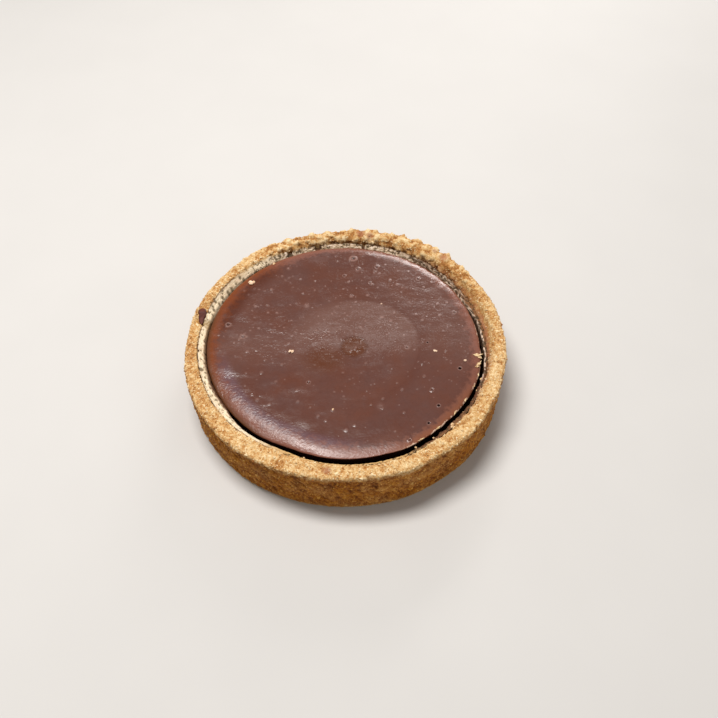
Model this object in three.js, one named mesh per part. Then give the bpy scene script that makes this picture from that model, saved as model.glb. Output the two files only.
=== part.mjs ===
// A round chocolate tart: a baked shortcrust shell, a set chocolate filling that has
// shrunk away from it, a lining of dried pale froth in the gap between the two, and one
// drip of the filling caught on the rim.
//
// Millimetres, +Z up. The origin is the centre of the underside and -Y is the front.
// Angles are in degrees from +X towards +Y. A depth is measured down from the rim.
import * as THREE from 'three';

// Shell
const tartDiameter = 90;
const tartHeight = 15.5;
const footDiameter = 88.8;
const footRound = 0.8;
const rimOuterRound = 0.8;
const rimInnerRound = 0.6;
const wallThickness = 4.04;
const wallDraft = 0.35;
const floorThickness = 3;
const floorFillet = 2;
const crumbRelief = { out: 0.13, up: 0.17 };
const crumbWaves = [
  { count: 23, slant: 1.3, start: 0 },
  { count: 41, slant: -2.1, start: 1.1 },
  { count: 59, slant: 3.7, start: 2.6 },
];

// The hollow of the shell isn't quite central, and its wall bulges in under the worn edge.
const hollowShift = { x: -0.35, y: 0.2 };
const wornEdge = { angle: 18, halfWidth: 62, out: 0.4, in: 1.15, depth: 2.4 };
const backSlope = { angle: 98, halfWidth: 62, out: 0.8, depth: 1.6 };

// Filling
const fillingDiameter = 76;
const fillingShift = { x: -0.85, y: 0.6 };
const crownDepth = 0.9;
const edgeDepth = 2.2;
const dishing = 0.15;
// The top falls to its edge by a wide shoulder, with this share of the fall, and a small round.
const shoulder = { width: 4, share: 0.6, round: 0.8 };
const shoulderCurve = 2.2;
const shallowEdge = { angle: 175, halfWidth: 70, by: 0.75 };
const lowEdge = { angle: 222, halfWidth: 44, by: 0.75, width: 6, share: 0.9, round: 0.25 };
const flatEdge = { angle: 285, halfWidth: 62, by: 0.75, width: 4, share: 0.92, round: 0.2 };
const sideUndercut = 0.9;
const crackDepth = 7;

// Froth lining
const frothBottomDepth = 6.4;
const frothThinnest = 0.3;
const frothLean = { from: 138, to: 232, soft: 10, out: 0.5 };
const frothSlope = 0.35;
const frothBubbles = 0.08;
const frothTop = { front: 0.55, left: 0.3, back: 2.15 };
const pieceGap = 0.3;

// Drip on the rim. It leans across the rim, and is narrower towards its tail.
const drip = { angle: 167, radius: 42.3, length: 6.2, width: 2.5, thickness: 1, sunk: 0.5 };
const dripTaper = { middle: 0.78, tail: -0.4 };
const dripLean = 17;
const dripNotch = { halfWidth: 8, inner: 40.4, outer: 44.8, depth: 1.4 };

// Steps round the tart
const shellSteps = 144;
const fillingSteps = 96;

// Swells of an edge, each as [middle angle, half width, how far out].
const rimSwells = [
  [66, 30, 0.5],
  [98, 16, -0.35],
  [124, 18, 0.45],
  [178, 20, -0.5],
  [228, 40, 0.25],
  [290, 12, 0.4],
  [316, 9, 0.4],
  [345, 25, -0.4],
  [15, 30, -0.3],
];
const hollowSwells = [
  [120, 25, -0.55],
  [155, 20, 0.3],
  [205, 25, -0.35],
  [242, 34, -0.95],
  [288, 20, 0.45],
  [342, 30, -0.55],
];
const fillingSwells = [
  [50, 50, -0.1],
  [130, 40, 0.15],
  [228, 48, -0.46],
  [247, 17, -0.35],
  [278, 36, 0.85],
  [295, 12, 0.45],
  [308, 10, 0.25],
  [318, 52, 0.7],
  [342, 24, 0.35],
  [345, 42, 0.4],
];

// Stretches of the open crack round the filling, each as [from, to, softness, how much wider].
const crack = [
  [216, 384, 6, 0.5],
  [219, 246, 6, 0.5],
  [226, 239, 5, 0.45],
  [243, 300, 14, 1.55],
  [300, 331, 6, 0.8],
  [331, 378, 6, 0.45],
];

// Lumps of crust that stand out of the rim at the back.
const lumpAngles = [47, 53.5, 61, 67, 79, 85.5];
const lump = { halfWidth: 4, out: 0.6, up: 0.35 };

const degree = Math.PI / 180;
const rimRadius = tartDiameter / 2;
const footRadius = footDiameter / 2;
const hollowRadius = rimRadius - wallThickness;
const fillingRadius = fillingDiameter / 2;

// 1 at the middle angle, falling smoothly to 0 at the half width.
function hump(angle, middle, halfWidth) {
  const away = Math.abs(((angle - middle + 900) % 360) - 180);
  return away < halfWidth ? 0.5 + 0.5 * Math.cos((Math.PI * away) / halfWidth) : 0;
}

// 1 between two angles, with a soft step at each end. The second may go past a full turn.
function between(angle, from, to, soft) {
  const at = (turned) => {
    const start = THREE.MathUtils.smoothstep(turned, from - soft, from + soft);
    const end = THREE.MathUtils.smoothstep(turned, to - soft, to + soft);
    return start - end;
  };
  return Math.max(at(angle), at(angle + 360));
}

function swells(list, angle) {
  return list.reduce((sum, [middle, width, size]) => sum + size * hump(angle, middle, width), 0);
}

function shifted(shift, angle) {
  return shift.x * Math.cos(angle * degree) + shift.y * Math.sin(angle * degree);
}

// Coarse crumb, between -1 and 1: waves round the tart whose counts share no factor.
function crumb(angle, along) {
  const wave = ({ count, slant, start }) => Math.sin(count * angle * degree + slant * along + start);
  return crumbWaves.reduce((sum, each) => sum + wave(each), 0) / crumbWaves.length;
}

// Radius of the shell's inner wall at an angle and a depth.
function hollowWall(angle, depth) {
  const worn = hump(angle, wornEdge.angle, wornEdge.halfWidth);
  const slope = THREE.MathUtils.smoothstep(depth, 0, wornEdge.depth);
  const wear = worn * THREE.MathUtils.lerp(wornEdge.out, -wornEdge.in, slope);
  const atBack = backSlope.out * hump(angle, backSlope.angle, backSlope.halfWidth);
  const back = atBack * (1 - THREE.MathUtils.smoothstep(depth, 0, backSlope.depth));
  const draft = wallDraft * (depth / tartHeight);
  const swell = shifted(hollowShift, angle) + swells(hollowSwells, angle);
  return hollowRadius + swell + wear + back - draft;
}

// Radius of the filling's edge, which is where its top meets its side.
function fillingEdge(angle) {
  return fillingRadius + shifted(fillingShift, angle) + swells(fillingSwells, angle);
}

function fillingEdgeDepth(angle) {
  const share = (edge) => edge.by * hump(angle, edge.angle, edge.halfWidth);
  return edgeDepth - share(shallowEdge) - share(flatEdge) + share(lowEdge);
}

// A size of the filling's shoulder, which changes where the edge is low or flat.
function shoulderSize(angle, name) {
  const low = hump(angle, lowEdge.angle, lowEdge.halfWidth);
  const flat = hump(angle, flatEdge.angle, flatEdge.halfWidth);
  const size = THREE.MathUtils.lerp(shoulder[name], lowEdge[name], low);
  return THREE.MathUtils.lerp(size, flatEdge[name], flat);
}

// Depth of the filling's top at a distance in from its edge.
function fillingTopDepth(angle, inward) {
  const start = crownDepth + dishing * (1 - inward / fillingRadius) ** 2;
  const wide = Math.max(0, 1 - inward / shoulderSize(angle, 'width')) ** shoulderCurve;
  const over = Math.max(0, 1 - inward / shoulderSize(angle, 'round'));
  const rounded = 1 - Math.sqrt(1 - over ** 2);
  const fall = THREE.MathUtils.lerp(rounded, wide, shoulderSize(angle, 'share'));
  return start + (fillingEdgeDepth(angle) - start) * fall;
}

// Width of the open crack between the filling and the froth.
function crackWidth(angle) {
  return crack.reduce((sum, [from, to, soft, wider]) => sum + wider * between(angle, from, to, soft), 0);
}

function frothTopDepth(angle) {
  const back = 1 - between(angle, 116, 350, 13);
  const left = between(angle, 116, 230, 13);
  const front = 1 - back - left;
  return back * frothTop.back + left * frothTop.left + front * frothTop.front;
}

// A closed outline in the plane through the axis, drawn from straight runs and rounds.
class Outline {
  constructor(radius, height) {
    this.points = [new THREE.Vector2(radius, height)];
  }

  run(radius, height, steps = 1) {
    const start = this.points[this.points.length - 1];
    const end = new THREE.Vector2(radius, height);
    for (let step = 1; step <= steps; step += 1) {
      this.points.push(start.clone().lerp(end, step / steps));
    }
    return this;
  }

  round(radius, height, size, fromAngle, toAngle, steps) {
    for (let step = 0; step <= steps; step += 1) {
      const angle = THREE.MathUtils.lerp(fromAngle, toAngle, step / steps) * degree;
      const point = new THREE.Vector2(Math.cos(angle), Math.sin(angle)).multiplyScalar(size);
      this.points.push(point.add(new THREE.Vector2(radius, height)));
    }
    return this;
  }
}

// Turns an outline round the axis. place(angle, radius, height) returns where a point of
// the outline lies at that angle, as [radius, height].
function turned(outline, steps, place) {
  const geometry = new THREE.LatheGeometry(outline.points, steps);
  const position = geometry.attributes.position;
  const count = outline.points.length;
  for (let index = 0; index < position.count; index += 1) {
    const angle = (360 * (Math.floor(index / count) % steps)) / steps;
    const point = outline.points[index % count];
    const [radius, height] = place(angle, point.x, point.y);
    const x = radius * Math.cos(angle * degree);
    const y = radius * Math.sin(angle * degree);
    position.setXYZ(index, x, y, height);
  }
  geometry.computeVertexNormals();
  return geometry;
}

// The notch that the drip sits in, as a depth at a point of the rim's top.
function notchDepth(angle, radius) {
  const middle = (dripNotch.inner + dripNotch.outer) / 2;
  const reach = (dripNotch.outer - dripNotch.inner) / 2;
  const across = Math.max(0, 1 - ((radius - middle) / reach) ** 2);
  return dripNotch.depth * hump(angle, drip.angle, dripNotch.halfWidth) ** 0.6 * across ** 0.6;
}

function crustGeometry() {
  const top = tartHeight;
  const outerEdge = rimRadius - rimOuterRound;
  const innerEdge = hollowRadius + rimInnerRound;
  const floorEdge = hollowRadius - floorFillet;
  const outline = new Outline(0, 0)
    .round(footRadius - footRound, footRound, footRound, -90, 0, 2)
    .run(rimRadius, top - rimOuterRound, 5)
    .round(outerEdge, top - rimOuterRound, rimOuterRound, 30, 90, 2)
    .run(innerEdge, top, 4)
    .round(innerEdge, top - rimInnerRound, rimInnerRound, 135, 180, 1)
    .run(hollowRadius, top - wornEdge.depth, 3)
    .run(hollowRadius, top - crackDepth)
    .run(hollowRadius, floorThickness + floorFillet)
    .round(floorEdge, floorThickness + floorFillet, floorFillet, -30, -90, 2)
    .run(0, floorThickness);

  return turned(outline, shellSteps, (angle, radius, height) => {
    if (radius < floorEdge) {
      return [radius, height];
    }
    // The outside follows the rim's swells and lumps, the inside follows the hollow, and
    // the flat of the rim goes evenly from one to the other.
    const up = height / top;
    const onTop = THREE.MathUtils.smoothstep(height, top - 1, top);
    const lumps = lumpAngles.reduce((sum, at) => sum + hump(angle, at, lump.halfWidth), 0);
    const outerMove = swells(rimSwells, angle) * (0.5 + 0.5 * up) + lump.out * lumps * up ** 4;
    const innerMove = hollowWall(angle, top - height) - hollowRadius;
    const across = THREE.MathUtils.clamp((outerEdge - radius) / (outerEdge - innerEdge), 0, 1);
    const inner = height > footRound && radius < innerEdge ? 1 : across * onTop;
    const rough = crumb(angle, radius + height);
    const shift = THREE.MathUtils.lerp(outerMove, innerMove, inner) + crumbRelief.out * rough;
    const rise = lump.up * lumps * (1 - inner) + crumbRelief.up * rough;
    const moved = radius + shift;
    return [moved, height + onTop * (rise - notchDepth(angle, moved))];
  });
}

function fillingGeometry() {
  // The outline's radius is the share of the way to the edge, its height is a depth.
  const inFromEdge = (distance) => 1 - distance / fillingRadius;
  const bottom = tartHeight - floorThickness - pieceGap;
  const outline = new Outline(0, bottom)
    .run(0.85, bottom)
    .run(1, bottom - floorFillet / 3)
    .run(1, bottom - floorFillet)
    .run(1, crackDepth + pieceGap * 3)
    .run(1, crackDepth)
    .run(1, crackDepth - 2)
    .run(1, 0)
    .run(inFromEdge(0.2), 0)
    .run(inFromEdge(0.8), 0)
    .run(inFromEdge(2), 0)
    .run(inFromEdge(3.8), 0)
    .run(inFromEdge(6), 0)
    .run(0, 0, 4);

  return turned(outline, fillingSteps, (angle, share, depth) => {
    const edge = fillingEdge(angle);
    if (depth === 0) {
      return [edge * share, tartHeight - fillingTopDepth(angle, fillingRadius * (1 - share))];
    }
    if (depth > crackDepth) {
      // Below the crack the filling still touches the shell.
      const fillet = depth > bottom - floorFillet ? (depth - bottom) / floorFillet + 1 : 0;
      const wall = hollowWall(angle, depth) - pieceGap - 0.6 * floorFillet * fillet ** 2;
      return [wall * share, tartHeight - depth];
    }
    return [edge - sideUndercut * (depth / crackDepth), tartHeight - depth];
  });
}

function frothGeometry() {
  // The outline runs from 0 at the filling to 1 at the shell, and from 0 at the bottom.
  const outline = new Outline(0, 0).run(1, 0).run(1, 1, 3).run(0.55, 1).run(0.12, 1).run(0, 0.9);
  outline.run(0, 0);

  return turned(outline, shellSteps, (angle, across, up) => {
    const topDepth = frothTopDepth(angle);
    const depth = THREE.MathUtils.lerp(frothBottomDepth, topDepth, up);
    const outer = hollowWall(angle, depth) - pieceGap;
    const lean = frothLean.out * between(angle, frothLean.from, frothLean.to, frothLean.soft);
    const open = fillingEdge(angle) + Math.max(pieceGap, crackWidth(angle));
    const inner = Math.min(open + (up < 0.9 ? 0 : lean), outer - frothThinnest);
    const radius = THREE.MathUtils.lerp(inner, outer, across);
    const slope = frothSlope * (outer - radius);
    const bubbles = frothBubbles * crumb(angle, 3 * across);
    return [radius, tartHeight - depth - (up === 1 ? slope - bubbles : 0)];
  });
}

function dripGeometry() {
  const geometry = new THREE.SphereGeometry(1, 18, 8);
  geometry.rotateX(90 * degree);
  const position = geometry.attributes.position;
  for (let index = 0; index < position.count; index += 1) {
    const taper = dripTaper.middle + dripTaper.tail * position.getY(index);
    position.setX(index, position.getX(index) * taper);
  }
  geometry.scale(drip.width / 2, drip.length / 2, drip.thickness / 2);
  return geometry;
}

function baked(name, geometry, color, roughness) {
  const material = new THREE.MeshStandardMaterial({ color, roughness, metalness: 0 });
  const mesh = new THREE.Mesh(geometry, material);
  mesh.name = name;
  return mesh;
}

const crust = baked('crust', crustGeometry(), 0xc99a5e, 0.9);
const filling = baked('filling', fillingGeometry(), 0x5a2c20, 0.35);
const froth = baked('froth_lining', frothGeometry(), 0xd8c6a4, 0.95);

const chocolateDrip = baked('chocolate_drip', dripGeometry(), 0x43201a, 0.4);
chocolateDrip.position.set(
  drip.radius * Math.cos(drip.angle * degree),
  drip.radius * Math.sin(drip.angle * degree),
  tartHeight - drip.sunk,
);
chocolateDrip.rotation.z = (drip.angle + dripLean) * degree;

const tart = new THREE.Group();
tart.add(crust, filling, froth, chocolateDrip);

export default tart;
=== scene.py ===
"""A chocolate tart: a crumbly shortcrust shell, a set chocolate filling that has shrunk
from it, and a lining of dried froth between the two.

Sizes are in millimetres until a mesh is written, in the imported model's frame: +Z up, the
front at -Y. Angles are in degrees from +X towards +Y. A depth is measured down from the rim.
"""

import math
from contextlib import contextmanager
from types import SimpleNamespace

import bpy
import numpy as np
from mathutils import Euler, Matrix, Vector, noise


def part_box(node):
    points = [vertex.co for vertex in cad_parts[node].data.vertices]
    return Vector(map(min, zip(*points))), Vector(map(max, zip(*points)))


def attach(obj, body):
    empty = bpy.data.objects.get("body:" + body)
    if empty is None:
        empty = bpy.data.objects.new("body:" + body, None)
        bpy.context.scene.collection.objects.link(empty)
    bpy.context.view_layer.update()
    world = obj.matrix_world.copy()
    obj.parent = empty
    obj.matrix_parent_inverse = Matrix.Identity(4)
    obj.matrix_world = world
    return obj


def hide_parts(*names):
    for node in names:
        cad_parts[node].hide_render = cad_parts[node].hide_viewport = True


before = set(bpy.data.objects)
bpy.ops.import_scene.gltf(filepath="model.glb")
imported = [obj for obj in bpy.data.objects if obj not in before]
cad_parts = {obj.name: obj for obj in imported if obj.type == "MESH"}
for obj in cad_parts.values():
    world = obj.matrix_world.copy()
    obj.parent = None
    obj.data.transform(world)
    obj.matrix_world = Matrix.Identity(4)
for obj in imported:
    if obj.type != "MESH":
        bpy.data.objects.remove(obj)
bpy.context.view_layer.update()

MM = 0.001

# ---------------------------------------------------------------------------------------
# Sizes shared with the solids
# ---------------------------------------------------------------------------------------
TART_HEIGHT = 15.5
RIM_RADIUS = 45.0
FOOT_RADIUS = 44.4
FOOT_ROUND = 0.8
RIM_OUTER_ROUND = 0.8
RIM_INNER_ROUND = 0.6
WALL_THICKNESS = 4.04
WALL_DRAFT = 0.35
FLOOR_THICKNESS = 3.0
FLOOR_FILLET = 2.0
HOLLOW_RADIUS = RIM_RADIUS - WALL_THICKNESS
HOLLOW_SHIFT = (-0.35, 0.2)
WORN_EDGE = {"angle": 18, "half_width": 62, "out": 0.4, "in": 1.15, "depth": 2.4}
BACK_SLOPE = {"angle": 98, "half_width": 62, "out": 0.8, "depth": 1.6}

FILLING_RADIUS = 38.0
FILLING_SHIFT = (-0.85, 0.6)
CROWN_DEPTH = 0.9
EDGE_DEPTH = 2.2
SHOULDER = {"width": 4.0, "share": 0.6, "round": 0.8}
LOW_EDGE = {"angle": 222, "half_width": 44, "by": 0.75, "width": 6.0, "share": 0.9, "round": 0.25}
FLAT_EDGE = {"angle": 285, "half_width": 62, "by": 0.75, "share": 0.92, "round": 0.2}
DISHING = 0.15
SHALLOW_EDGE = {"angle": 175, "half_width": 70, "by": 0.75}
SIDE_UNDERCUT = 0.9
CRACK_DEPTH = 7.0

FROTH_BOTTOM_DEPTH = 6.4
FROTH_LEAN = 0.5
# Stretches of the crack, each as (from, to, softness, how much wider), and how wide it
# has to be to count as fully open.
OPEN_CRACK = 0.5
CRACK = [
    (216, 384, 6, 0.5), (219, 246, 6, 0.5), (226, 239, 5, 0.45), (243, 300, 14, 1.55),
    (300, 331, 6, 0.8), (331, 378, 6, 0.45),
]
FROTH_SLOPE = 0.35
FROTH_TOP = {"front": 0.55, "left": 0.3, "back": 2.15}
PIECE_GAP = 0.3

DRIP = {"angle": 167.0, "radius": 42.3, "length": 6.2, "width": 2.5, "thickness": 1.0, "sunk": 0.5}
DRIP_LEAN = 17
DRIP_NOTCH = {"half_width": 8, "inner": 40.4, "outer": 44.8, "depth": 1.4}

# Swells of an edge, each as (middle angle, half width, how far out).
RIM_SWELLS = [
    (66, 30, 0.5), (98, 16, -0.35), (124, 18, 0.45), (178, 20, -0.5), (228, 40, 0.25),
    (290, 12, 0.4), (316, 9, 0.4), (345, 25, -0.4), (15, 30, -0.3),
]
HOLLOW_SWELLS = [
    (120, 25, -0.55), (155, 20, 0.3), (205, 25, -0.35), (242, 34, -0.95), (288, 20, 0.45),
    (342, 30, -0.55),
]
FILLING_SWELLS = [
    (50, 50, -0.1), (130, 40, 0.15), (228, 48, -0.46), (247, 17, -0.35), (278, 36, 0.85),
    (295, 12, 0.45), (308, 10, 0.25), (318, 52, 0.7), (342, 24, 0.35), (345, 42, 0.4),
]
# Crags that stand up along the back of the rim.
LUMP_ANGLES = [47, 53.5, 61, 67, 79, 85.5]
LUMP = {"half_width": 4, "out": 0.6, "up": 0.35}

# ---------------------------------------------------------------------------------------
# Stretches of the tart, each as (from, to, softness)
# ---------------------------------------------------------------------------------------
STRETCHES = {
    # Crust.
    "crags": (28, 128, 14),
    "browned back right": (20, 75, 20),
    "browned left": (152, 215, 14),
    "stained foot": (312, 375, 10),
    "half-stained foot": (375, 418, 10),
    "stained rim": (318, 352, 8),
    # Relief and finish of the filling.
    "lumpy left": (135, 262, 18),
    "streaky left": (150, 200, 20),
    "front left": (192, 252, 14),
    "leathery": (192, 300, 15),
    "smoother front": (250, 310, 12),
    "back": (50, 130, 20),
    "sleek back": (10, 90, 12),
    "sleek right": (290, 345, 12),
    "sleek left": (140, 205, 12),
    # Tints of the filling, painted sheen, glow and shade among them.
    "clear back": (62, 168, 14),
    "hazy right": (330, 400, 20),
    "hazy left": (165, 205, 15),
    "dusk": (126, 174, 8),
    "trough": (205, 305, 12),
    "lilac": (194, 270, 13),
    "glow at the left": (96, 200, 12),
    "left": (122, 213, 10),
    "right": (335, 484, 12),
    "front": (216, 292, 10),
    "brink": (162, 234, 8),
    "rind": (294, 372, 5),
    "lit crack": (296, 350, 8),
    # Shape of the froth.
    "froth left and front": (116, 350, 13),
    "froth left": (116, 230, 13),
    "froth slope": (112, 164, 8),
    "cream ring": (138, 232, 10),
    "joined back left": (106, 143, 6),
    "joined front left": (192, 262, 6),
    "ragged crack": (300, 338, 8),
    "open crack": (296, 345, 8),
    "whole froth": (62, 343, 12),
    "swollen back": (28, 128, 10),
    "few pores": (136, 262, 8),
    # Tints of the froth, painted shade among them.
    "cream": (124, 241, 7),
    "pinker": (134, 154, 6),
    "gold back left": (108, 141, 6),
    "gold front": (241, 336, 7),
    "stained left": (198, 234, 5),
    "stained crack": (294, 348, 6),
    "browned": (303, 388, 6),
    "lip": (340, 371, 6),
    "faint lip": (371, 392, 6),
}
# How much the filling's torn edge strays, everywhere and more along some stretches.
TORN_EVERYWHERE = 0.1
TORN_MORE = [(28, 92, 12, 0.22), (350, 388, 8, 0.18), (298, 350, 8, 0.12)]


# ---------------------------------------------------------------------------------------
# The tart's shape, as functions of angle, radius and depth
# ---------------------------------------------------------------------------------------
def smoothstep(value, low, high):
    share = np.clip((value - low) / (high - low), 0, 1)
    return share * share * (3 - 2 * share)


def mix(first, second, share):
    return first + (second - first) * share


def fade(value, low, high):
    """1 up to the low value, falling smoothly to 0 at the high one."""
    return 1 - smoothstep(value, low, high)


def bell(value, middle, width):
    """1 at the middle value, falling off smoothly on both sides."""
    return np.exp(-(((value - middle) / width) ** 2))


def hump(angle, middle, half_width):
    """1 at the middle angle, falling smoothly to 0 at the half width."""
    away = np.abs((angle - middle + 900) % 360 - 180)
    return np.where(away < half_width, 0.5 + 0.5 * np.cos(np.pi * away / half_width), 0.0)


def at_place(angle, place):
    return hump(angle, place["angle"], place["half_width"])


def between(angle, low, high, soft):
    """1 between two angles, with a soft step at each end."""

    def at(turned_angle):
        start = smoothstep(turned_angle, low - soft, low + soft)
        end = smoothstep(turned_angle, high - soft, high + soft)
        return start - end

    return np.maximum(at(angle), at(angle + 360))


def swells(listed, angle):
    """Sum of swells, each as (middle angle, half width, size)."""
    return sum(size * hump(angle, middle, width) for middle, width, size in listed)


def stretches(listed, angle):
    """Sum of stretches, each as (from, to, softness, size)."""
    return sum(size * between(angle, low, high, soft) for low, high, soft, size in listed)


def on(name, angle):
    """1 along a named stretch, 0 away from it."""
    return between(angle, *STRETCHES[name])


def shifted(shift, angle):
    return shift[0] * np.cos(np.radians(angle)) + shift[1] * np.sin(np.radians(angle))


def hollow_wall(angle, depth):
    """Radius of the shell's inner wall."""
    worn = at_place(angle, WORN_EDGE)
    slope = smoothstep(depth, 0, WORN_EDGE["depth"])
    wear = worn * mix(WORN_EDGE["out"], -WORN_EDGE["in"], slope)
    back = BACK_SLOPE["out"] * at_place(angle, BACK_SLOPE)
    wear = wear + back * fade(depth, 0, BACK_SLOPE["depth"])
    draft = WALL_DRAFT * depth / TART_HEIGHT
    smooth = HOLLOW_RADIUS + shifted(HOLLOW_SHIFT, angle) + swells(HOLLOW_SWELLS, angle)
    return smooth + wear - draft


def filling_edge(angle):
    return FILLING_RADIUS + shifted(FILLING_SHIFT, angle) + swells(FILLING_SWELLS, angle)


def low_edge(angle):
    """1 where the edge has sunk most, at the front left."""
    return at_place(angle, LOW_EDGE)


def flat_edge(angle):
    """1 where the top runs nearly flat to its edge, at the front."""
    return at_place(angle, FLAT_EDGE)


def shoulder_of(angle, name):
    """A size of the filling's shoulder, which changes where the edge is low or flat."""
    size = mix(SHOULDER[name], LOW_EDGE[name], low_edge(angle))
    if name not in FLAT_EDGE:
        return size
    return mix(size, FLAT_EDGE[name], flat_edge(angle))


def filling_edge_depth(angle):
    shallow = at_place(angle, SHALLOW_EDGE)
    raised = SHALLOW_EDGE["by"] * shallow + FLAT_EDGE["by"] * flat_edge(angle)
    return EDGE_DEPTH - raised + LOW_EDGE["by"] * low_edge(angle)


def filling_top_depth(angle, share):
    """Depth of the filling's top: a slight dish, then a shoulder and a round edge."""
    inward = (1 - share) * FILLING_RADIUS
    start = CROWN_DEPTH + DISHING * share**2
    fall = filling_edge_depth(angle) - start
    shoulder = np.clip(1 - inward / shoulder_of(angle, "width"), 0, 1) ** 2.2
    over = np.clip(1 - inward / shoulder_of(angle, "round"), 0, 1)
    rounded = 1 - np.sqrt(np.maximum(0, 1 - over**2))
    part = shoulder_of(angle, "share")
    return start + fall * (part * shoulder + (1 - part) * rounded)


def crack_width(angle):
    """Width of the open crack between the filling and the froth."""
    return stretches(CRACK, angle)


def crack_opening(angle):
    """0 where the froth still touches the filling, 1 where the crack is open."""
    return np.minimum(1, crack_width(angle) / OPEN_CRACK)


def froth_top_depth(angle):
    back = 1 - on("froth left and front", angle)
    left = on("froth left", angle)
    front = 1 - back - left
    return back * FROTH_TOP["back"] + left * FROTH_TOP["left"] + front * FROTH_TOP["front"]


def torn_line(angle):
    """How far the filling's edge strays from its smooth line, most at the back right."""
    ring = from_polar(angle, FILLING_RADIUS + 0 * angle, 0 * angle)
    strays = 0.7 * waves(ring, 1.9, 18) + 0.4 * waves(ring, 0.8, 19)
    return strays * (TORN_EVERYWHERE + stretches(TORN_MORE, angle))


def lumps(angle):
    return sum(hump(angle, at, LUMP["half_width"]) for at in LUMP_ANGLES)


def notch_depth(angle, radius):
    """The notch in the rim that the drip sits in."""
    middle = (DRIP_NOTCH["inner"] + DRIP_NOTCH["outer"]) / 2
    reach = (DRIP_NOTCH["outer"] - DRIP_NOTCH["inner"]) / 2
    across = np.maximum(0, 1 - ((radius - middle) / reach) ** 2)
    along = hump(angle, DRIP["angle"], DRIP_NOTCH["half_width"])
    return DRIP_NOTCH["depth"] * along**0.6 * across**0.6


def waves(points, size, seed):
    """Smooth noise from -1 to 1 at each point, with features of about that size."""
    offset = Vector((seed * 7.3, seed * 3.1, seed * 5.7))
    return np.array([noise.noise(Vector(point) / size + offset) for point in points])


# ---------------------------------------------------------------------------------------
# Hand tools
# ---------------------------------------------------------------------------------------
def pick_only(*pieces):
    bpy.ops.object.select_all(action="DESELECT")
    for piece in pieces:
        piece.select_set(True)
        bpy.context.view_layer.objects.active = piece


@contextmanager
def editing(piece):
    pick_only(piece)
    bpy.ops.object.mode_set(mode="EDIT")
    yield
    bpy.ops.object.mode_set(mode="OBJECT")


def read_vertices(piece, what):
    flat = np.zeros(len(piece.data.vertices) * 3)
    piece.data.vertices.foreach_get(what, flat)
    return flat.reshape(-1, 3)


def points_of(piece):
    return read_vertices(piece, "co") / MM


def set_points(piece, points):
    piece.data.vertices.foreach_set("co", (points * MM).ravel())
    piece.data.update()


def normals_of(piece):
    return read_vertices(piece, "normal")


def polar(points):
    """Angle in degrees and radius of each point."""
    angle = np.degrees(np.arctan2(points[:, 1], points[:, 0])) % 360
    return angle, np.hypot(points[:, 0], points[:, 1])


def from_polar(angle, radius, height):
    turn = np.radians(angle)
    return np.column_stack((radius * np.cos(turn), radius * np.sin(turn), height))


def paint(piece, **shares):
    """Writes one value per vertex under each name, for the materials to read."""
    for name, values in shares.items():
        layer = piece.data.attributes.new(name, "FLOAT", "POINT")
        layer.data.foreach_set("value", np.asarray(values, np.float32))


def run(start, end, steps):
    """Points of a straight run of an outline, without its start."""
    start, end = np.array(start), np.array(end)
    return [tuple(mix(start, end, step / steps)) for step in range(1, steps + 1)]


def arc(centre, size, start, end, steps):
    """Points of a round of an outline, without its start."""
    x, y = centre
    turns = [math.radians(mix(start, end, step / steps)) for step in range(1, steps + 1)]
    return [(x + size * math.cos(turn), y + size * math.sin(turn)) for turn in turns]


def turned(name, outline, steps):
    """A piece turned on the wheel: an outline drawn vertex by vertex, an eighth of a turn
    spun from it, and that eighth doubled three times."""
    pick_only()
    bpy.ops.mesh.primitive_plane_add(size=MM)
    piece = bpy.context.object
    piece.name = piece.data.name = name
    bpy.context.tool_settings.mesh_select_mode = (True, False, False)
    with editing(piece):
        bpy.ops.mesh.select_all(action="SELECT")
        bpy.ops.mesh.merge(type="CENTER")
        here = (0.0, 0.0)
        for radius, height in outline:
            move = ((radius - here[0]) * MM, 0, (height - here[1]) * MM)
            if here == (0.0, 0.0):
                bpy.ops.transform.translate(value=move)
            else:
                bpy.ops.mesh.extrude_region_move(TRANSFORM_OT_translate={"value": move})
            here = (radius, height)
        bpy.ops.mesh.select_all(action="SELECT")
        bpy.ops.mesh.spin(steps=steps // 8, angle=math.pi / 4, center=(0, 0, 0), axis=(0, 0, 1))
        for quarter_turns in (0.5, 1, 2):
            bpy.ops.mesh.select_all(action="SELECT")
            bpy.ops.mesh.duplicate()
            bpy.ops.transform.rotate(
                value=quarter_turns * math.pi / 2, orient_axis="Z", center_override=(0, 0, 0)
            )
        bpy.ops.mesh.select_all(action="SELECT")
        bpy.ops.mesh.remove_doubles(threshold=0.01 * MM)
        bpy.ops.mesh.normals_make_consistent(inside=False)
    bpy.ops.object.shade_smooth()
    return piece


def roughen(piece, name, kind, size, strength, group=None, **settings):
    """Pushes the surface in and out by a solid texture, and applies it."""
    texture = bpy.data.textures.new(name, kind)
    texture.noise_scale = size * MM
    for setting, value in settings.items():
        setattr(texture, setting, value)
    pick_only(piece)
    modifier = piece.modifiers.new(name, "DISPLACE")
    modifier.texture = texture
    modifier.texture_coords = "LOCAL"
    modifier.strength = strength * MM
    modifier.mid_level = 0.5
    if group:
        modifier.vertex_group = group
    bpy.ops.object.modifier_apply(modifier=name)


def grip(piece, name, weights):
    """A vertex group with the weights in 21 steps."""
    group = piece.vertex_groups.new(name=name)
    steps = np.round(np.clip(weights, 0, 1) * 20).astype(int)
    for step in range(1, 21):
        members = np.flatnonzero(steps == step)
        if len(members):
            group.add(members.tolist(), step / 20, "REPLACE")
    return name


def keep_inside(points, box):
    """Holds points inside the solid's box, so that the real size stays."""
    low, high = (np.array(corner) / MM for corner in box)
    return np.clip(points, low + 0.01, high - 0.01)


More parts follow.
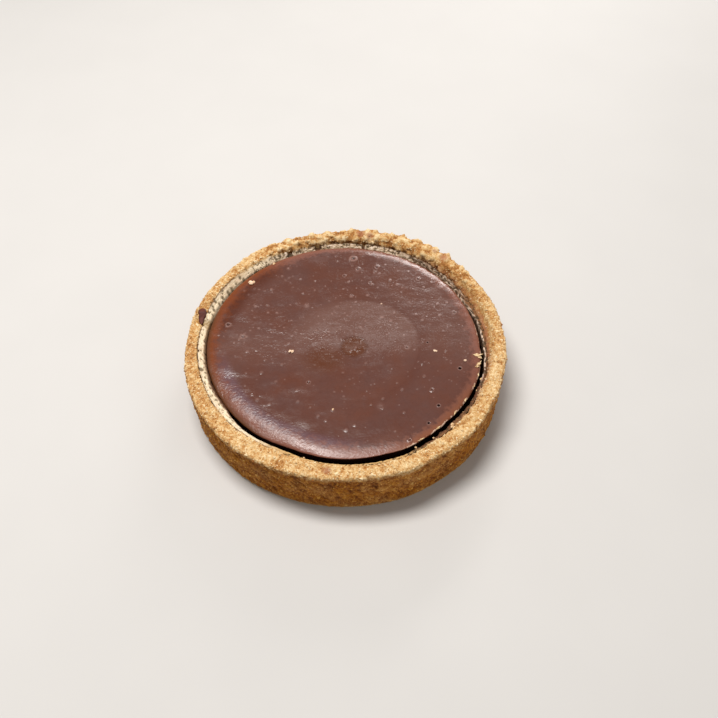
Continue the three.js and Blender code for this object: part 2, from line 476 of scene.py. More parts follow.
def subdivide_near(piece, places, reach, cuts):
    """Subdivides the top faces whose middle is near one of the places."""
    mesh = piece.data
    middles = np.zeros(len(mesh.polygons) * 3)
    mesh.polygons.foreach_get("center", middles)
    middles = middles.reshape(-1, 3) / MM
    near = np.zeros(len(middles), bool)
    for (x, y), distance in zip(places, reach):
        near |= np.hypot(middles[:, 0] - x, middles[:, 1] - y) < distance
    near &= middles[:, 2] > 0
    bpy.context.tool_settings.mesh_select_mode = (False, False, True)
    with editing(piece):
        bpy.ops.mesh.select_all(action="DESELECT")
    mesh.polygons.foreach_set("select", near)
    with editing(piece):
        bpy.ops.mesh.select_mode(type="FACE")
        bpy.ops.mesh.subdivide(number_cuts=cuts, smoothness=0)


# ---------------------------------------------------------------------------------------
# Crust
# ---------------------------------------------------------------------------------------
CRUST_STEPS = 896
FURROW = {"slant": 0.9, "length": 5.5, "spread": 0.12, "depth": 0.85}
GRAIN_DOUBLINGS = 13
GRAIN_SIZE = 0.2
GRAIN_SPREAD = 0.42
GRAIN_LIMITS = (0.1, 0.6)
# Chocolate stains on the rim, each as (angle, radius, size).
CRUST_STAINS = [
    (47, 43.4, 1.6), (52, 43.9, 0.9), (80, 42.6, 1.4), (84, 43.6, 1.7), (264, 42.5, 1.3),
]


def crust_outline():
    top = TART_HEIGHT
    outer_edge = RIM_RADIUS - RIM_OUTER_ROUND
    inner_edge = HOLLOW_RADIUS + RIM_INNER_ROUND
    floor_edge = HOLLOW_RADIUS - FLOOR_FILLET
    fillet_top = FLOOR_THICKNESS + FLOOR_FILLET
    outline = [(0.001, 0.0)]
    outline += run((0, 0), (FOOT_RADIUS - FOOT_ROUND, 0), 3)
    outline += arc((FOOT_RADIUS - FOOT_ROUND, FOOT_ROUND), FOOT_ROUND, -90, 0, 4)
    outline += run((FOOT_RADIUS, FOOT_ROUND), (RIM_RADIUS, top - RIM_OUTER_ROUND), 43)
    outline += arc((outer_edge, top - RIM_OUTER_ROUND), RIM_OUTER_ROUND, 0, 90, 5)
    outline += run((outer_edge, top), (inner_edge, top), 9)
    outline += arc((inner_edge, top - RIM_INNER_ROUND), RIM_INNER_ROUND, 90, 180, 4)
    outline += run((HOLLOW_RADIUS, top - RIM_INNER_ROUND), (HOLLOW_RADIUS, top - CRACK_DEPTH), 18)
    outline += run((HOLLOW_RADIUS, top - CRACK_DEPTH), (HOLLOW_RADIUS, fillet_top), 2)
    outline += arc((floor_edge, fillet_top), FLOOR_FILLET, 0, -90, 2)
    outline += run((floor_edge, FLOOR_THICKNESS), (0.001, FLOOR_THICKNESS), 2)
    return outline


def shape_crust(points):
    """Moves a point of the turned shell to where it lies on the tart."""
    angle, radius = polar(points)
    height = points[:, 2]
    top = TART_HEIGHT
    outer_edge = RIM_RADIUS - RIM_OUTER_ROUND
    inner_edge = HOLLOW_RADIUS + RIM_INNER_ROUND
    up = height / top
    on_top = smoothstep(height, top - 1, top)
    lump = lumps(angle)
    outer_move = swells(RIM_SWELLS, angle) * (0.5 + 0.5 * up) + LUMP["out"] * lump * up**4
    inner_move = hollow_wall(angle, top - height) - HOLLOW_RADIUS
    across = np.clip((outer_edge - radius) / (outer_edge - inner_edge), 0, 1)
    inner = np.where((height > FOOT_ROUND) & (radius < inner_edge), 1.0, across * on_top)
    moved = radius + mix(outer_move, inner_move, inner)
    rise = LUMP["up"] * lump * (1 - inner)
    moved_height = height + on_top * (rise - notch_depth(angle, moved))
    still = radius < HOLLOW_RADIUS - FLOOR_FILLET
    moved = np.where(still, radius, moved)
    return from_polar(angle, moved, np.where(still, height, moved_height))


def furrows(angle, height):
    """Slanted furrows, torn in the wall as it was dragged by the ring."""
    along = np.radians(angle) * RIM_RADIUS
    slanted = np.column_stack((
        along + FURROW["slant"] * height,
        (height - FURROW["slant"] * along) / FURROW["length"],
        np.zeros(len(angle)),
    ))
    return np.minimum(0, waves(slanted, 1.0, 3) + FURROW["spread"]) * FURROW["depth"]


def make_crust():
    crust = turned("crust_shell", crust_outline(), CRUST_STEPS)
    template = points_of(crust)
    smooth = shape_crust(template)
    angle = polar(smooth)[0]
    radius, height = polar(template)[1], template[:, 2]
    outer_wall = (radius > RIM_RADIUS - RIM_OUTER_ROUND) & (height > 0.3)
    foot = smoothstep(height, 0.0, 1.2)
    rim = smoothstep(height, TART_HEIGHT - 2.5, TART_HEIGHT - 0.3)
    inner_rim = smoothstep(height, TART_HEIGHT - 4.0, TART_HEIGHT - 2.2)
    rim = np.where(radius < RIM_RADIUS - 2, inner_rim, rim)
    seen = (outer_wall | (height > TART_HEIGHT - CRACK_DEPTH - 0.2)) * foot
    set_points(crust, smooth)
    out = normals_of(crust)
    everywhere = grip(crust, "seen", seen)
    on_rim = grip(crust, "rim", seen * rim)
    on_wall = grip(crust, "wall", seen * (1 - rim))
    roughen(crust, "dough_dents", "CLOUDS", 5.0, 0.5, everywhere)
    roughen(crust, "rim_lumps", "CLOUDS", 1.9, 0.5, on_rim)
    at_back = grip(crust, "back", seen * rim * on("crags", angle))
    roughen(crust, "back_lumps", "VORONOI", 2.3, -1.3, at_back, distance_metric="DISTANCE")
    roughen(crust, "rim_crumb", "VORONOI", 0.85, -0.42, on_rim, distance_metric="DISTANCE")
    roughen(crust, "wall_crumb", "VORONOI", 1.5, -0.55, on_wall, distance_metric="DISTANCE")
    roughen(crust, "sand", "CLOUDS", 0.42, 0.42, everywhere, noise_type="HARD_NOISE")

    on_outer_wall = outer_wall * foot * (1 - rim)
    furrow = furrows(angle, height) * on_outer_wall
    rough = keep_inside(points_of(crust) + out * furrow[:, None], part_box("crust"))
    set_points(crust, rough)
    crust.vertex_groups.clear()
    # The material paints shade and light from some of these shares: shade in the crumb's dips and
    # light on its crests, shade down inside the shell, on the rim's left and back right, and on the
    # worn slope.
    paint(
        crust,
        raised=((rough - smooth) * out).sum(axis=1) / 0.3,
        wall=on_outer_wall,
        hollow=hollow_share(smooth),
        stain=stains(smooth),
        baked=baked_share(angle),
        worn=worn_share(smooth),
    )
    return crust


def baked_share(angle):
    """Painted shade on the rim: 1 where it is darkest, at the left, and less at the back right."""
    return np.maximum(0.6 * on("browned back right", angle), on("browned left", angle))


def worn_share(points):
    """1 at the foot of the slope where the inner edge is worn, at the right, which the material
    paints in shade.
    """
    angle, radius = polar(points)
    worn = hump(angle, WORN_EDGE["angle"], WORN_EDGE["half_width"] + 15)
    return worn**0.5 * (1 - smoothstep(radius - hollow_wall(angle, 0), -0.2, 1.8))


def hollow_share(points):
    """Painted shade: 1 far down the inner wall, 0 on the rim and outside, and less on the brightly
    lit back.
    """
    angle, radius = polar(points)
    inside = radius < hollow_wall(angle, 0) + 0.7
    deep = smoothstep(TART_HEIGHT - points[:, 2], 0.1, 3.0) * (1 - 0.85 * hump(angle, 95, 60))
    return np.where(inside, deep, 0.0)


def stains(points):
    """Where the filling has stained the rim."""
    found = np.zeros(len(points))
    for angle, radius, size in CRUST_STAINS:
        turn = math.radians(angle)
        x, y = radius * math.cos(turn), radius * math.sin(turn)
        away = np.hypot(points[:, 0] - x, points[:, 1] - y)
        found = np.maximum(found, 0.7 * fade(away, 0.2 * size, 1.3 * size))
    found = found * smoothstep(points[:, 2], TART_HEIGHT - 2.4, TART_HEIGHT - 1.0)
    # Under the torn froth at the right the foot of the slope is stained too.
    angle, radius = polar(points)
    depth = TART_HEIGHT - points[:, 2] + 1.1 * waves(points, 0.8, 20)
    from_hollow = radius - hollow_wall(angle, 0)
    foot = (on("stained foot", angle) + 0.5 * on("half-stained foot", angle)) * (from_hollow < 0.4)
    found = np.maximum(found, 0.75 * foot * smoothstep(depth, 1.0, 1.7))
    strayed = from_hollow + 0.4 * waves(points, 0.8, 26)
    return np.maximum(found, 0.4 * on("stained rim", angle) * fade(strayed, 0.0, 1.3))


def scattered(name, count_doublings, spots, out, sizes, flatness, sunk, seed):
    """Many copies of one rough grain in one piece, each set on a spot of a surface."""
    pick_only()
    bpy.ops.mesh.primitive_ico_sphere_add(subdivisions=1, radius=MM)
    grains = bpy.context.object
    grains.name = grains.data.name = name
    per_grain = len(grains.data.vertices)
    with editing(grains):
        for _ in range(count_doublings):
            bpy.ops.mesh.select_all(action="SELECT")
            bpy.ops.mesh.duplicate()
    count = 2**count_doublings
    draw = np.random.default_rng(seed)
    shape = points_of(grains).reshape(count, per_grain, 3)
    shape = shape * draw.uniform(0.62, 1.25, (count, per_grain, 1))
    shape[:, :, 0] *= draw.uniform(0.75, 1.35, (count, 1))
    shape[:, :, 2] *= flatness
    turns = [Euler(turn).to_matrix() for turn in draw.uniform(0, 2 * math.pi, (count, 3))]
    turns = np.array([[list(row) for row in turn] for turn in turns])
    shape = np.einsum("gij,gvj->gvi", turns, shape) * sizes[:, None, None]
    centres = spots - out * (sunk * sizes)[:, None]
    set_points(grains, (shape + centres[:, None, :]).reshape(-1, 3))
    return grains, per_grain


def make_crust_grains(crust):
    """Loose sandy crumb, half sunk in the shell."""
    draw = np.random.default_rng(11)
    surface, out = points_of(crust), normals_of(crust)
    angle, radius = polar(surface)
    depth = TART_HEIGHT - surface[:, 2]
    on_rim = (out[:, 2] > 0.3) & (depth < 1.2)
    on_wall = (radius > RIM_RADIUS - 1.8) & (surface[:, 2] > 0.9) & ~on_rim
    on_inner = (radius < hollow_wall(angle, 0) + 0.4) & (depth < 2.6) & ~on_rim
    chance = on_rim * (1 - 0.65 * on("crags", angle)) + on_wall * 0.42 + on_inner * 0.8
    count = 2**GRAIN_DOUBLINGS
    chosen = draw.choice(len(surface), count, replace=False, p=chance / chance.sum())
    sizes = draw.lognormal(math.log(GRAIN_SIZE), GRAIN_SPREAD, count).clip(*GRAIN_LIMITS)
    grains, per_grain = scattered(
        "crust_grains", GRAIN_DOUBLINGS, surface[chosen], out[chosen], sizes, 0.8, 0.35, 12
    )
    set_points(grains, keep_inside(points_of(grains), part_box("crust")))
    # The grains take the shell's painted shade inside it, on the rim and on the worn slope.
    shares = {
        "tone": draw.uniform(0, 1, count),
        "wall": on_wall[chosen],
        "hollow": hollow_share(surface)[chosen],
        "stain": stains(surface)[chosen],
        "baked": baked_share(angle)[chosen],
        "worn": 0.3 * worn_share(surface)[chosen],
    }
    paint(grains, **{name: np.repeat(each, per_grain) for name, each in shares.items()})
    return grains


# ---------------------------------------------------------------------------------------
# Filling
# ---------------------------------------------------------------------------------------
FILLING_STEPS = 384

# Burst bubbles with a raised lip, each as (x, y, radius).
BURST_BUBBLES = [
    (3.6, 28.4, 0.75), (-0.5, 25.6, 0.6), (9.3, 29.2, 0.75), (8.6, 27.0, 0.5),
    (7.1, 22.6, 0.55), (21.5, 23.9, 0.7), (31.3, 10.3, 0.6), (-33.5, 6.7, 0.8),
    (-28.9, 2.1, 0.9), (-9.9, -14.3, 0.65), (17.1, -2.5, 0.65), (16.6, -33.0, 0.55),
    (23.2, -17.3, 0.6),
]
# Small open holes.
PINHOLES = [(31.2, -10.0, 0.5), (24.6, -22.3, 0.45), (21.7, -27.8, 0.4), (22.9, -0.7, 0.3)]
# Whole bubbles that stand under the skin.
DOMES = [
    (1.6, 17.1, 0.65), (6.4, 17.5, 0.55), (2.8, 14.8, 0.4), (10.4, 8.8, 0.6), (12.9, 7.4, 0.55),
    (4.2, 5.2, 0.4), (26.9, 9.3, 0.5), (26.5, 13.7, 0.45), (0.8, 23.0, 0.5), (10.0, 26.3, 0.45),
    (13.1, 23.6, 0.5), (15.1, 21.6, 0.5), (16.6, 20.4, 0.4), (-17.4, 29.0, 0.5),
    (-13.6, 24.5, 0.4), (-22.0, 20.4, 0.45), (-12.6, 18.6, 0.4), (-26.2, 13.6, 0.5),
    (-22.4, 11.1, 0.45), (-15.9, -0.5, 0.4), (-17.4, -8.0, 0.45), (-22.8, -10.7, 0.55),
    (-18.7, -13.9, 0.5), (-23.4, -19.6, 0.55), (-20.0, -21.3, 0.5), (-12.5, -20.5, 0.45),
    (-3.2, -23.3, 0.5), (-7.0, -25.2, 0.5), (0.3, -29.7, 0.6), (2.5, -28.3, 0.45),
    (15.2, -17.0, 0.45), (21.4, -12.6, 0.5), (10.0, -19.9, 0.45), (-0.4, -19.1, 0.4),
    (21.9, 7.6, 0.45), (20.1, 9.7, 0.4), (29.3, 14.2, 0.45),
]
# Foamy clusters, each as (x, y, spread).
CLUSTERS = [(-28.9, 2.1, 1.1), (-11.5, 13.8, 0.8), (9.3, -22.3, 0.8)]
BUBBLES_IN_CLUSTER = 9
BUBBLES_IN_ALL = 446
BUBBLES_END = 35.5
BIG_BUBBLE = (2.2, 32.9, 1.25)
# The chocolate was poured here, which left a small disc and a wide faint ring.
POUR_DISC = (2.4, -2.0, 3.7)
POUR_RING = 18.0
POUR_WOBBLE = 0.5
# Where the ring's edge is sharp, in degrees about its middle, as (from, to, softness).
SHARP_RING = (285, 460, 25)
# Soft dents and rises at the left, each as (x, y, half width, half length, rise).
DENTS = [(-31.3, -12.4, 2.2, 1.2, -0.18), (-31.6, -9.0, 2.6, 1.6, 0.13)]
# Stretches where the top dips before its edge, each as (from, to, softness, depth).
DIPS = [(205, 272, 12, 0.09), (272, 306, 10, 0.17)]
# Where the streaks fade out, each as (x, y, reach, share).
SMOOTH_SPOTS = [(-31.0, -10.0, 3.5, 0.8), (-29.5, 2.0, 4.5, 0.7)]
BLOTCH = (-5.8, -6.3)
# Width of the glowing edge along its stretches, each as (from, to, softness, width).
GLOW = [(120, 162, 8, 0.9), (200, 274, 10, 4.6), (274, 490, 12, 3.3), (288, 345, 10, -0.7)]


def filling_outline():
    """Radius is the share of the way to the edge, times the edge's radius. Height is minus
    the depth on the side, and the top lies at height 1."""
    bottom = TART_HEIGHT - FLOOR_THICKNESS - PIECE_GAP
    full = FILLING_RADIUS
    below_crack = -CRACK_DEPTH - 3 * PIECE_GAP
    outline = [(0.001, -bottom)]
    outline += run((0, -bottom), (0.85 * full, -bottom), 2)
    outline += [(full, -bottom + FLOOR_FILLET / 3), (full, -bottom + FLOOR_FILLET)]
    outline += [(full, below_crack), (full, -CRACK_DEPTH)]
    outline += run((full, -CRACK_DEPTH), (full, -0.6), 11)
    outline += [(full, -0.3), (full, -0.12), (full, -0.02)]
    shares = [0.9996, 0.9985, 0.9965, 0.9935, 0.9895, 0.9845, 0.9785, 0.971, 0.962, 0.951, 0.938]
    outline += [(full * share, 1.0) for share in shares]
    outline += run((full * shares[-1], 1.0), (full * 0.02, 1.0), 56)
    return outline + [(0.001, 1.0)]


def around_pour(points):
    """Angle and distance of each point from the middle of the pour, and the distance less
    the wobble of the ring that it left."""
    across, along = points[:, 0] - POUR_DISC[0], points[:, 1] - POUR_DISC[1]
    angle = np.degrees(np.arctan2(along, across)) % 360
    distance = np.hypot(across, along)
    return angle, distance, distance - POUR_WOBBLE * np.sin(np.radians(3 * angle))


def ripples(spots):
    """The low relief of the top: faint rings left by the pouring, and soft dents."""
    points = spots.points
    x, y = points[:, 0], points[:, 1]
    open_ring = 0.35 + 0.65 * between(spots.pour_angle, 250, 400, 40)
    disc = fade(spots.from_pour, POUR_DISC[2] - 0.7, POUR_DISC[2] + 0.3)
    relief = -0.05 * bell(spots.unwobbled, POUR_RING, 0.45) * open_ring - 0.05 * disc
    relief += 0.05 * waves(points, 11.0, 5)
    streaked = points * np.array((0.6, 1.0, 1.0))
    angle, radius = polar(points)
    left = on("lumpy left", angle) * smoothstep(radius, 12, 22)
    lively = 1 + 0.5 * smoothstep(y, 2, 20) + 0.6 * left
    relief += lively * (0.055 * waves(streaked, 2.8, 6) + 0.018 * waves(streaked, 1.3, 7))
    relief += left * (0.16 * waves(points, 5.0, 23) + 0.03 * waves(points, 1.6, 28))
    for dent_x, dent_y, width, length, rise in DENTS:
        relief += rise * bell(np.hypot((x - dent_x) / width, (y - dent_y) / length), 0, 1)
    return relief


def bubble_list():
    """Every bubble as (x, y, radius, kind)."""
    draw = np.random.default_rng(21)
    bubbles = [(*each, "burst") for each in BURST_BUBBLES]
    bubbles += [(*each, "hole") for each in PINHOLES]
    bubbles += [(*each, "dome") for each in DOMES]
    for x, y, spread in CLUSTERS:
        for _ in range(BUBBLES_IN_CLUSTER):
            dx, dy = draw.normal(0, 0.55 * spread, 2)
            bubbles.append((x + dx, y + dy, draw.uniform(0.2, 0.42), "dome"))
    while len(bubbles) < BUBBLES_IN_ALL:
        x, y = draw.uniform(-37, 37, 2)
        from_middle = math.hypot(x - FILLING_SHIFT[0], y - FILLING_SHIFT[1])
        # The front has fewer.
        if from_middle > BUBBLES_END or y < draw.uniform(-45, 0):
            continue
        size = min(0.42, 0.17 + draw.exponential(0.07))
        bubbles.append((x, y, size, "burst" if draw.uniform() < 0.1 else "dome"))
    return bubbles


def shape_filling(template):
    """Moves a point of the turned block to where it lies on the tart."""
    angle, radius = polar(template)
    share = radius / FILLING_RADIUS
    depth = -template[:, 2]
    on_top = template[:, 2] > 0
    edge = filling_edge(angle) + torn_line(angle)
    bottom = TART_HEIGHT - FLOOR_THICKNESS - PIECE_GAP
    fillet = np.clip((depth - bottom) / FLOOR_FILLET + 1, 0, 1)
    low_wall = hollow_wall(angle, depth) - PIECE_GAP - 0.6 * FLOOR_FILLET * fillet**2
    side = edge - SIDE_UNDERCUT * depth / CRACK_DEPTH
    side = np.where(depth > CRACK_DEPTH + 0.01, low_wall * share, side)
    moved = np.where(on_top, edge * share, side)
    # The side is drawn from the edge down, so that it meets the top.
    edge_height = TART_HEIGHT - filling_edge_depth(angle)
    down = np.clip(depth / CRACK_DEPTH, 0, 1)
    side_height = mix(edge_height, TART_HEIGHT - CRACK_DEPTH, down)
    side_height = np.where(depth <= CRACK_DEPTH, side_height, TART_HEIGHT - depth)
    height = np.where(on_top, TART_HEIGHT - filling_top_depth(angle, share), side_height)
    points = from_polar(angle, moved, height)
    pour_angle, from_pour, unwobbled = around_pour(points)
    return SimpleNamespace(
        angle=angle,
        share=share,
        depth=depth,
        on_top=on_top,
        from_edge=edge - moved,
        pour_angle=pour_angle,
        from_pour=from_pour,
        unwobbled=unwobbled,
        points=points,
    )


def bubble_marks(kind, size, away, foot, at_back):
    """Rise, paleness with painted highlight, and painted shade of one bubble, from how far its
    middle and foot are.
    """
    # Domes get a paler top with painted highlight, more at the back, and painted shade at the foot
    # towards the front; burst bubbles and pinholes get painted shade in their holes.
    if kind == "dome":
        dome = np.clip(1 - (away / 1.25) ** 2, 0, 1) ** 0.9
        rise = mix(0.13, 0.26, at_back) * size * dome
        return rise, mix(0.26, 0.5, at_back) * dome**1.5, 0.2 * bell(foot, 0, 0.7)
    if kind == "burst":
        rise = 0.28 * size * bell(away, 0.85, 0.28) - 0.3 * size * bell(away, 0, 0.5)
        lip = bell(away, 0.85, 0.25)
        return rise, mix(0.2, 0.4, at_back) * lip, 0.35 * bell(away, 0, 0.45)
    rise = 0.12 * size * bell(away, 1.0, 0.3) - 1.5 * size * np.exp(-((away / 0.62) ** 4))
    return rise, 0.3 * bell(away, 1.15, 0.25), 2 * np.exp(-((away / 0.75) ** 4))


def blow_bubbles(bubbles, spots):
    """Rise, paleness with painted highlight, and painted shade of the top, from all its bubbles."""
    x, y, on_top = spots.points[:, 0], spots.points[:, 1], spots.on_top
    relief, pale, dark = np.zeros((3, len(x)))
    for bubble_x, bubble_y, size, kind in bubbles:
        near = np.flatnonzero(on_top & (np.abs(x - bubble_x) < 3) & (np.abs(y - bubble_y) < 3))
        across, along = x[near] - bubble_x, y[near] - bubble_y
        away, foot = np.hypot(across, along) / size, np.hypot(across, along + 0.9 * size) / size
        at_back = float(smoothstep(bubble_y, -10, 5))
        rise, paler, darker = bubble_marks(kind, size, away, foot, at_back)
        relief[near] += rise
        pale[near] = np.maximum(pale[near], paler)
        dark[near] = np.maximum(dark[near], darker)
    for cluster_x, cluster_y, spread in CLUSTERS:
        foam = bell(np.hypot(x - cluster_x, y - cluster_y), 0, 1.1 * spread) * on_top
        relief += 0.12 * foam
        pale = np.maximum(pale, 0.14 * foam)
    big_x, big_y, big_size = BIG_BUBBLE
    away = np.hypot(x - big_x, y - big_y) / big_size
    dome = np.sqrt(np.clip(1 - away**2, 0, 1)) * on_top
    pit = bell(np.hypot(x - big_x - 0.1, y - big_y - 0.15), 0, 0.38) * on_top
    ring = bell(away, 0.8, 0.25) * on_top
    relief += 0.3 * dome - 0.5 * pit
    return relief, np.maximum(pale, 0.15 * dome + 0.5 * ring), np.maximum(dark, pit)


def thin_edge(angle):
    """How far in from the edge the filling is thin enough to glow, in millimetres."""
    left = 4.4 * hump(angle, 180, 90) * on("glow at the left", angle)
    return 0.12 + left + stretches(GLOW, angle)


def bloom_share(spots):
    """Painted sheen inside the ring that the pour left, and a thinner painted sheen all over."""
    angle, y, unwobbled = spots.angle, spots.points[:, 1], spots.unwobbled
    soft_end, sharp_end = smoothstep(unwobbled, 14.0, 19.0), smoothstep(unwobbled, 17.3, 18.3)
    bloom = 1 - mix(soft_end, sharp_end, between(spots.pour_angle, *SHARP_RING))
    bloom *= mix(0.1, 1.25, smoothstep(y, -7, 9))
    bloom *= smoothstep(spots.from_pour, POUR_DISC[2] - 0.4, POUR_DISC[2] + 0.6)
    haze = 0.42 * (1 - 0.85 * smoothstep(-y, -4, 14)) * fade(spots.share, 0.88, 0.99)
    haze *= 1 - 0.7 * on("clear back", angle) * smoothstep(spots.from_pour, 17, 22)
    haze *= 1 + 0.3 * on("hazy right", angle) + 0.35 * on("hazy left", angle)
    return haze + 0.42 * bloom


def dusk_share(spots):
    """Painted shade in darker bands: inside the left edge, beyond the pour's ring and along the
    dip.
    """
    angle, from_edge, unwobbled = spots.angle, spots.from_edge, spots.unwobbled
    beyond_ring = smoothstep(unwobbled, 17.6, 18.3) * fade(unwobbled, 18.8, 22.5)
    beyond_ring = beyond_ring * between(spots.pour_angle, *SHARP_RING)
    dusk = on("dusk", angle) * smoothstep(from_edge, 1.8, 3.0) * fade(from_edge, 4.0, 8.0)
    trough = on("trough", angle) * smoothstep(from_edge, 4.2, 5.6) * fade(from_edge, 8.0, 12.0)
    return np.maximum(np.maximum(dusk, 0.24 * beyond_ring), 0.25 * trough)


def sleek_share(spots):
    """Where the top is glossiest."""
    near_middle = fade(spots.from_pour, 14, 19) * (spots.points[:, 1] > -4)
    sleek = 1 + 0.5 * on("back", spots.angle)
    sleek *= fade(spots.share, 0.82, 0.92) * (1 - 0.5 * near_middle)
    for name, start in (("sleek back", 0.75), ("sleek right", 0.7), ("sleek left", 0.7)):
        sleek = np.maximum(sleek, on(name, spots.angle) * smoothstep(spots.share, start, 0.85))
    return sleek


def streaked_share(spots, front_left):
    """Where the skin has set in fine streaks, and how strongly."""
    angle, x, y = spots.angle, spots.points[:, 0], spots.points[:, 1]
    streaked = mix(0.35, 1.0, smoothstep(spots.from_edge, 2.0, 8.0))
    streaked *= 1 - 0.82 * smoothstep(-y, -4, 16)
    streaked *= 1 + 0.2 * on("streaky left", angle) - 0.2 * on("back", angle)
    streaked += 0.08 * front_left
    for smooth_x, smooth_y, reach, less in SMOOTH_SPOTS:
        streaked *= 1 - less * bell(np.hypot(x - smooth_x, y - smooth_y), 0, reach)
    return streaked


def paint_filling(filling, spots, pale, dark):
    """Where the material finds each tint and each finish of the chocolate."""
    angle, from_edge, on_top = spots.angle, spots.from_edge, spots.on_top
    x, y, from_pour = spots.points[:, 0], spots.points[:, 1], spots.from_pour
    blotch = fade(np.hypot((x - BLOTCH[0]) / 1.35, y - BLOTCH[1]), 1.5, 6.5)
    disc = fade(from_pour, POUR_DISC[2] - 0.6, POUR_DISC[2] + 0.4)
    disc_edge = bell(from_pour, POUR_DISC[2], 0.45) * on_top
    # A painted purplish sheen on the inner side of the shoulder's highlight.
    lilac = 1.3 * on("lilac", angle) * smoothstep(from_edge, 1.6, 3.2) * fade(from_edge, 4.6, 7.0)
    near_pour = fade(from_pour, 10, 17)
    front_left = on("front left", angle) * smoothstep(np.hypot(x, y), 12, 20)
    leathery = on("leathery", angle) * fade(from_edge, 4.5, 9.0)
    dark_from = mix(1.2, 0.25, crack_opening(angle)) + 0.9 * on("lit crack", angle)
    paint(
        filling,
        bloom=bloom_share(spots),
        warm=np.maximum(0.8 * blotch, disc),
        dusk=np.where(on_top, dusk_share(spots), 0),
        lilac=np.where(on_top, lilac, 0),
        inward=np.where(on_top, from_edge, 0),
        thin=thin_edge(angle),
        left=on("left", angle),
        right=np.maximum(on("right", angle), on("front", angle)),
        brink=on("brink", angle),
        rind=on("rind", angle),
        pale=pale,
        # Painted shade in the bubbles' pits and at their feet, and a darker rim round the pour's
        # disc.
        dark=np.maximum(dark, 0.16 * disc_edge),
        # Painted shade down the side into the crack, starting lower where the crack is lit.
        side=np.where(on_top, 0, smoothstep(spots.depth, 0.0, dark_from)),
        sleek=sleek_share(spots),
        streaked=streaked_share(spots, front_left) * (1 + 0.5 * near_pour),
        uneven=mix(1.0, 0.35, smoothstep(-y, -2, 12)) + 0.6 * near_pour + 0.35 * front_left,
        leathery=leathery * (1 - 0.45 * on("smoother front", angle)),
    )


def make_filling():
    filling = turned("chocolate_filling", filling_outline(), FILLING_STEPS)
    bubbles = bubble_list()
    places = [(x, y) for x, y, _, _ in bubbles] + [BIG_BUBBLE[:2]]
    reach = [0.33 + 1.38 * size for _, _, size, _ in bubbles] + [2 * BIG_BUBBLE[2]]
    subdivide_near(filling, places, reach, 3)

    spots = shape_filling(points_of(filling))
    relief, pale, dark = blow_bubbles(bubbles, spots)
    relief += ripples(spots) * fade(spots.share, 0.96, 1.0)
    inward = (1 - spots.share) * FILLING_RADIUS
    relief -= stretches(DIPS, spots.angle) * bell(inward, 6.0, 1.9)
    spots.points[:, 2] += np.where(spots.on_top, relief, 0)
    set_points(filling, keep_inside(spots.points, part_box("filling")))
    paint_filling(filling, spots, pale, dark)
    return filling


# ---------------------------------------------------------------------------------------
# Froth
# ---------------------------------------------------------------------------------------
FROTH_STEPS = 1200
# The ring is turned 1 mm wide from this radius out, and lies at about the next one.
TURNED_RADIUS = 41.0
FROTH_RADIUS = 40
FROTH_GAPS = [(82, 1.5), (102.5, 1.3), (115.5, 1.8)]
# Where the drip has run over the froth, as a thin brown film.
DRIP_FILM = {"angle": 170.2, "half_width": 3.2}

# Open pores at the left, each as (angle, share of the way out, length, width).
LEFT_PORES = [
    (140.7, 0.2, 0.5, 0.32), (141.4, 0.6, 0.5, 0.3), (144.8, 0.35, 0.35, 0.25),
    (148.0, 0.3, 0.6, 0.36), (150.5, 0.3, 0.65, 0.36), (152.6, 0.7, 0.35, 0.2),
    (154.2, 0.43, 0.55, 0.32), (155.8, 0.15, 0.35, 0.2), (157.7, 0.33, 0.5, 0.25),
    (157.9, 0.75, 0.5, 0.3), (160.6, 0.7, 0.45, 0.25), (161.8, 0.47, 0.6, 0.3),
    (164.3, 0.75, 0.4, 0.22), (164.5, 0.3, 0.35, 0.2), (176.2, 0.67, 0.45, 0.16),
    (179.3, 0.26, 0.5, 0.18), (184.2, 0.61, 0.7, 0.17), (188.6, 0.6, 0.45, 0.2),
    (190.8, 0.3, 0.35, 0.15), (193.9, 0.78, 1.0, 0.6), (195.6, 0.4, 0.5, 0.2),
    (198.2, 0.6, 0.5, 0.16), (201.0, 0.82, 0.8, 0.18), (203.5, 0.5, 0.7, 0.15),
    (205.8, 0.4, 0.6, 0.14), (207.6, 0.66, 0.5, 0.13), (210.3, 0.5, 0.7, 0.17),
    (212.8, 0.55, 0.55, 0.16), (216.0, 0.6, 0.5, 0.12), (220.5, 0.6, 0.6, 0.13),
]
# They slant up to this angle, and lie nearly along the ring beyond it, in degrees.
SLANTED_UNTIL = 197
SLANTED, ALONG_RING = -40, -8
PORES_IN_ALL = 620


def froth_outline():
    """Across goes from 0 at the filling to 1 at the crust, and up from 0 to 1."""
    outline = [(0.0, 0.0), (1.0, 0.0), (1.0, 0.5), (1.0, 0.8), (1.0, 1.0)]
    outline += run((1.0, 1.0), (0.1, 1.0), 14)
    outline += [(0.04, 0.985), (0.01, 0.96), (0.0, 0.92), (0.0, 0.86), (0.0, 0.8)]
    outline += run((0.0, 0.8), (0.0, 0.001), 5)
    return [(TURNED_RADIUS + across, up) for across, up in outline]


def torn_share(angle):
    """1 where the froth is torn open at the right, 0 where it is whole."""
    return 1 - on("whole froth", angle)


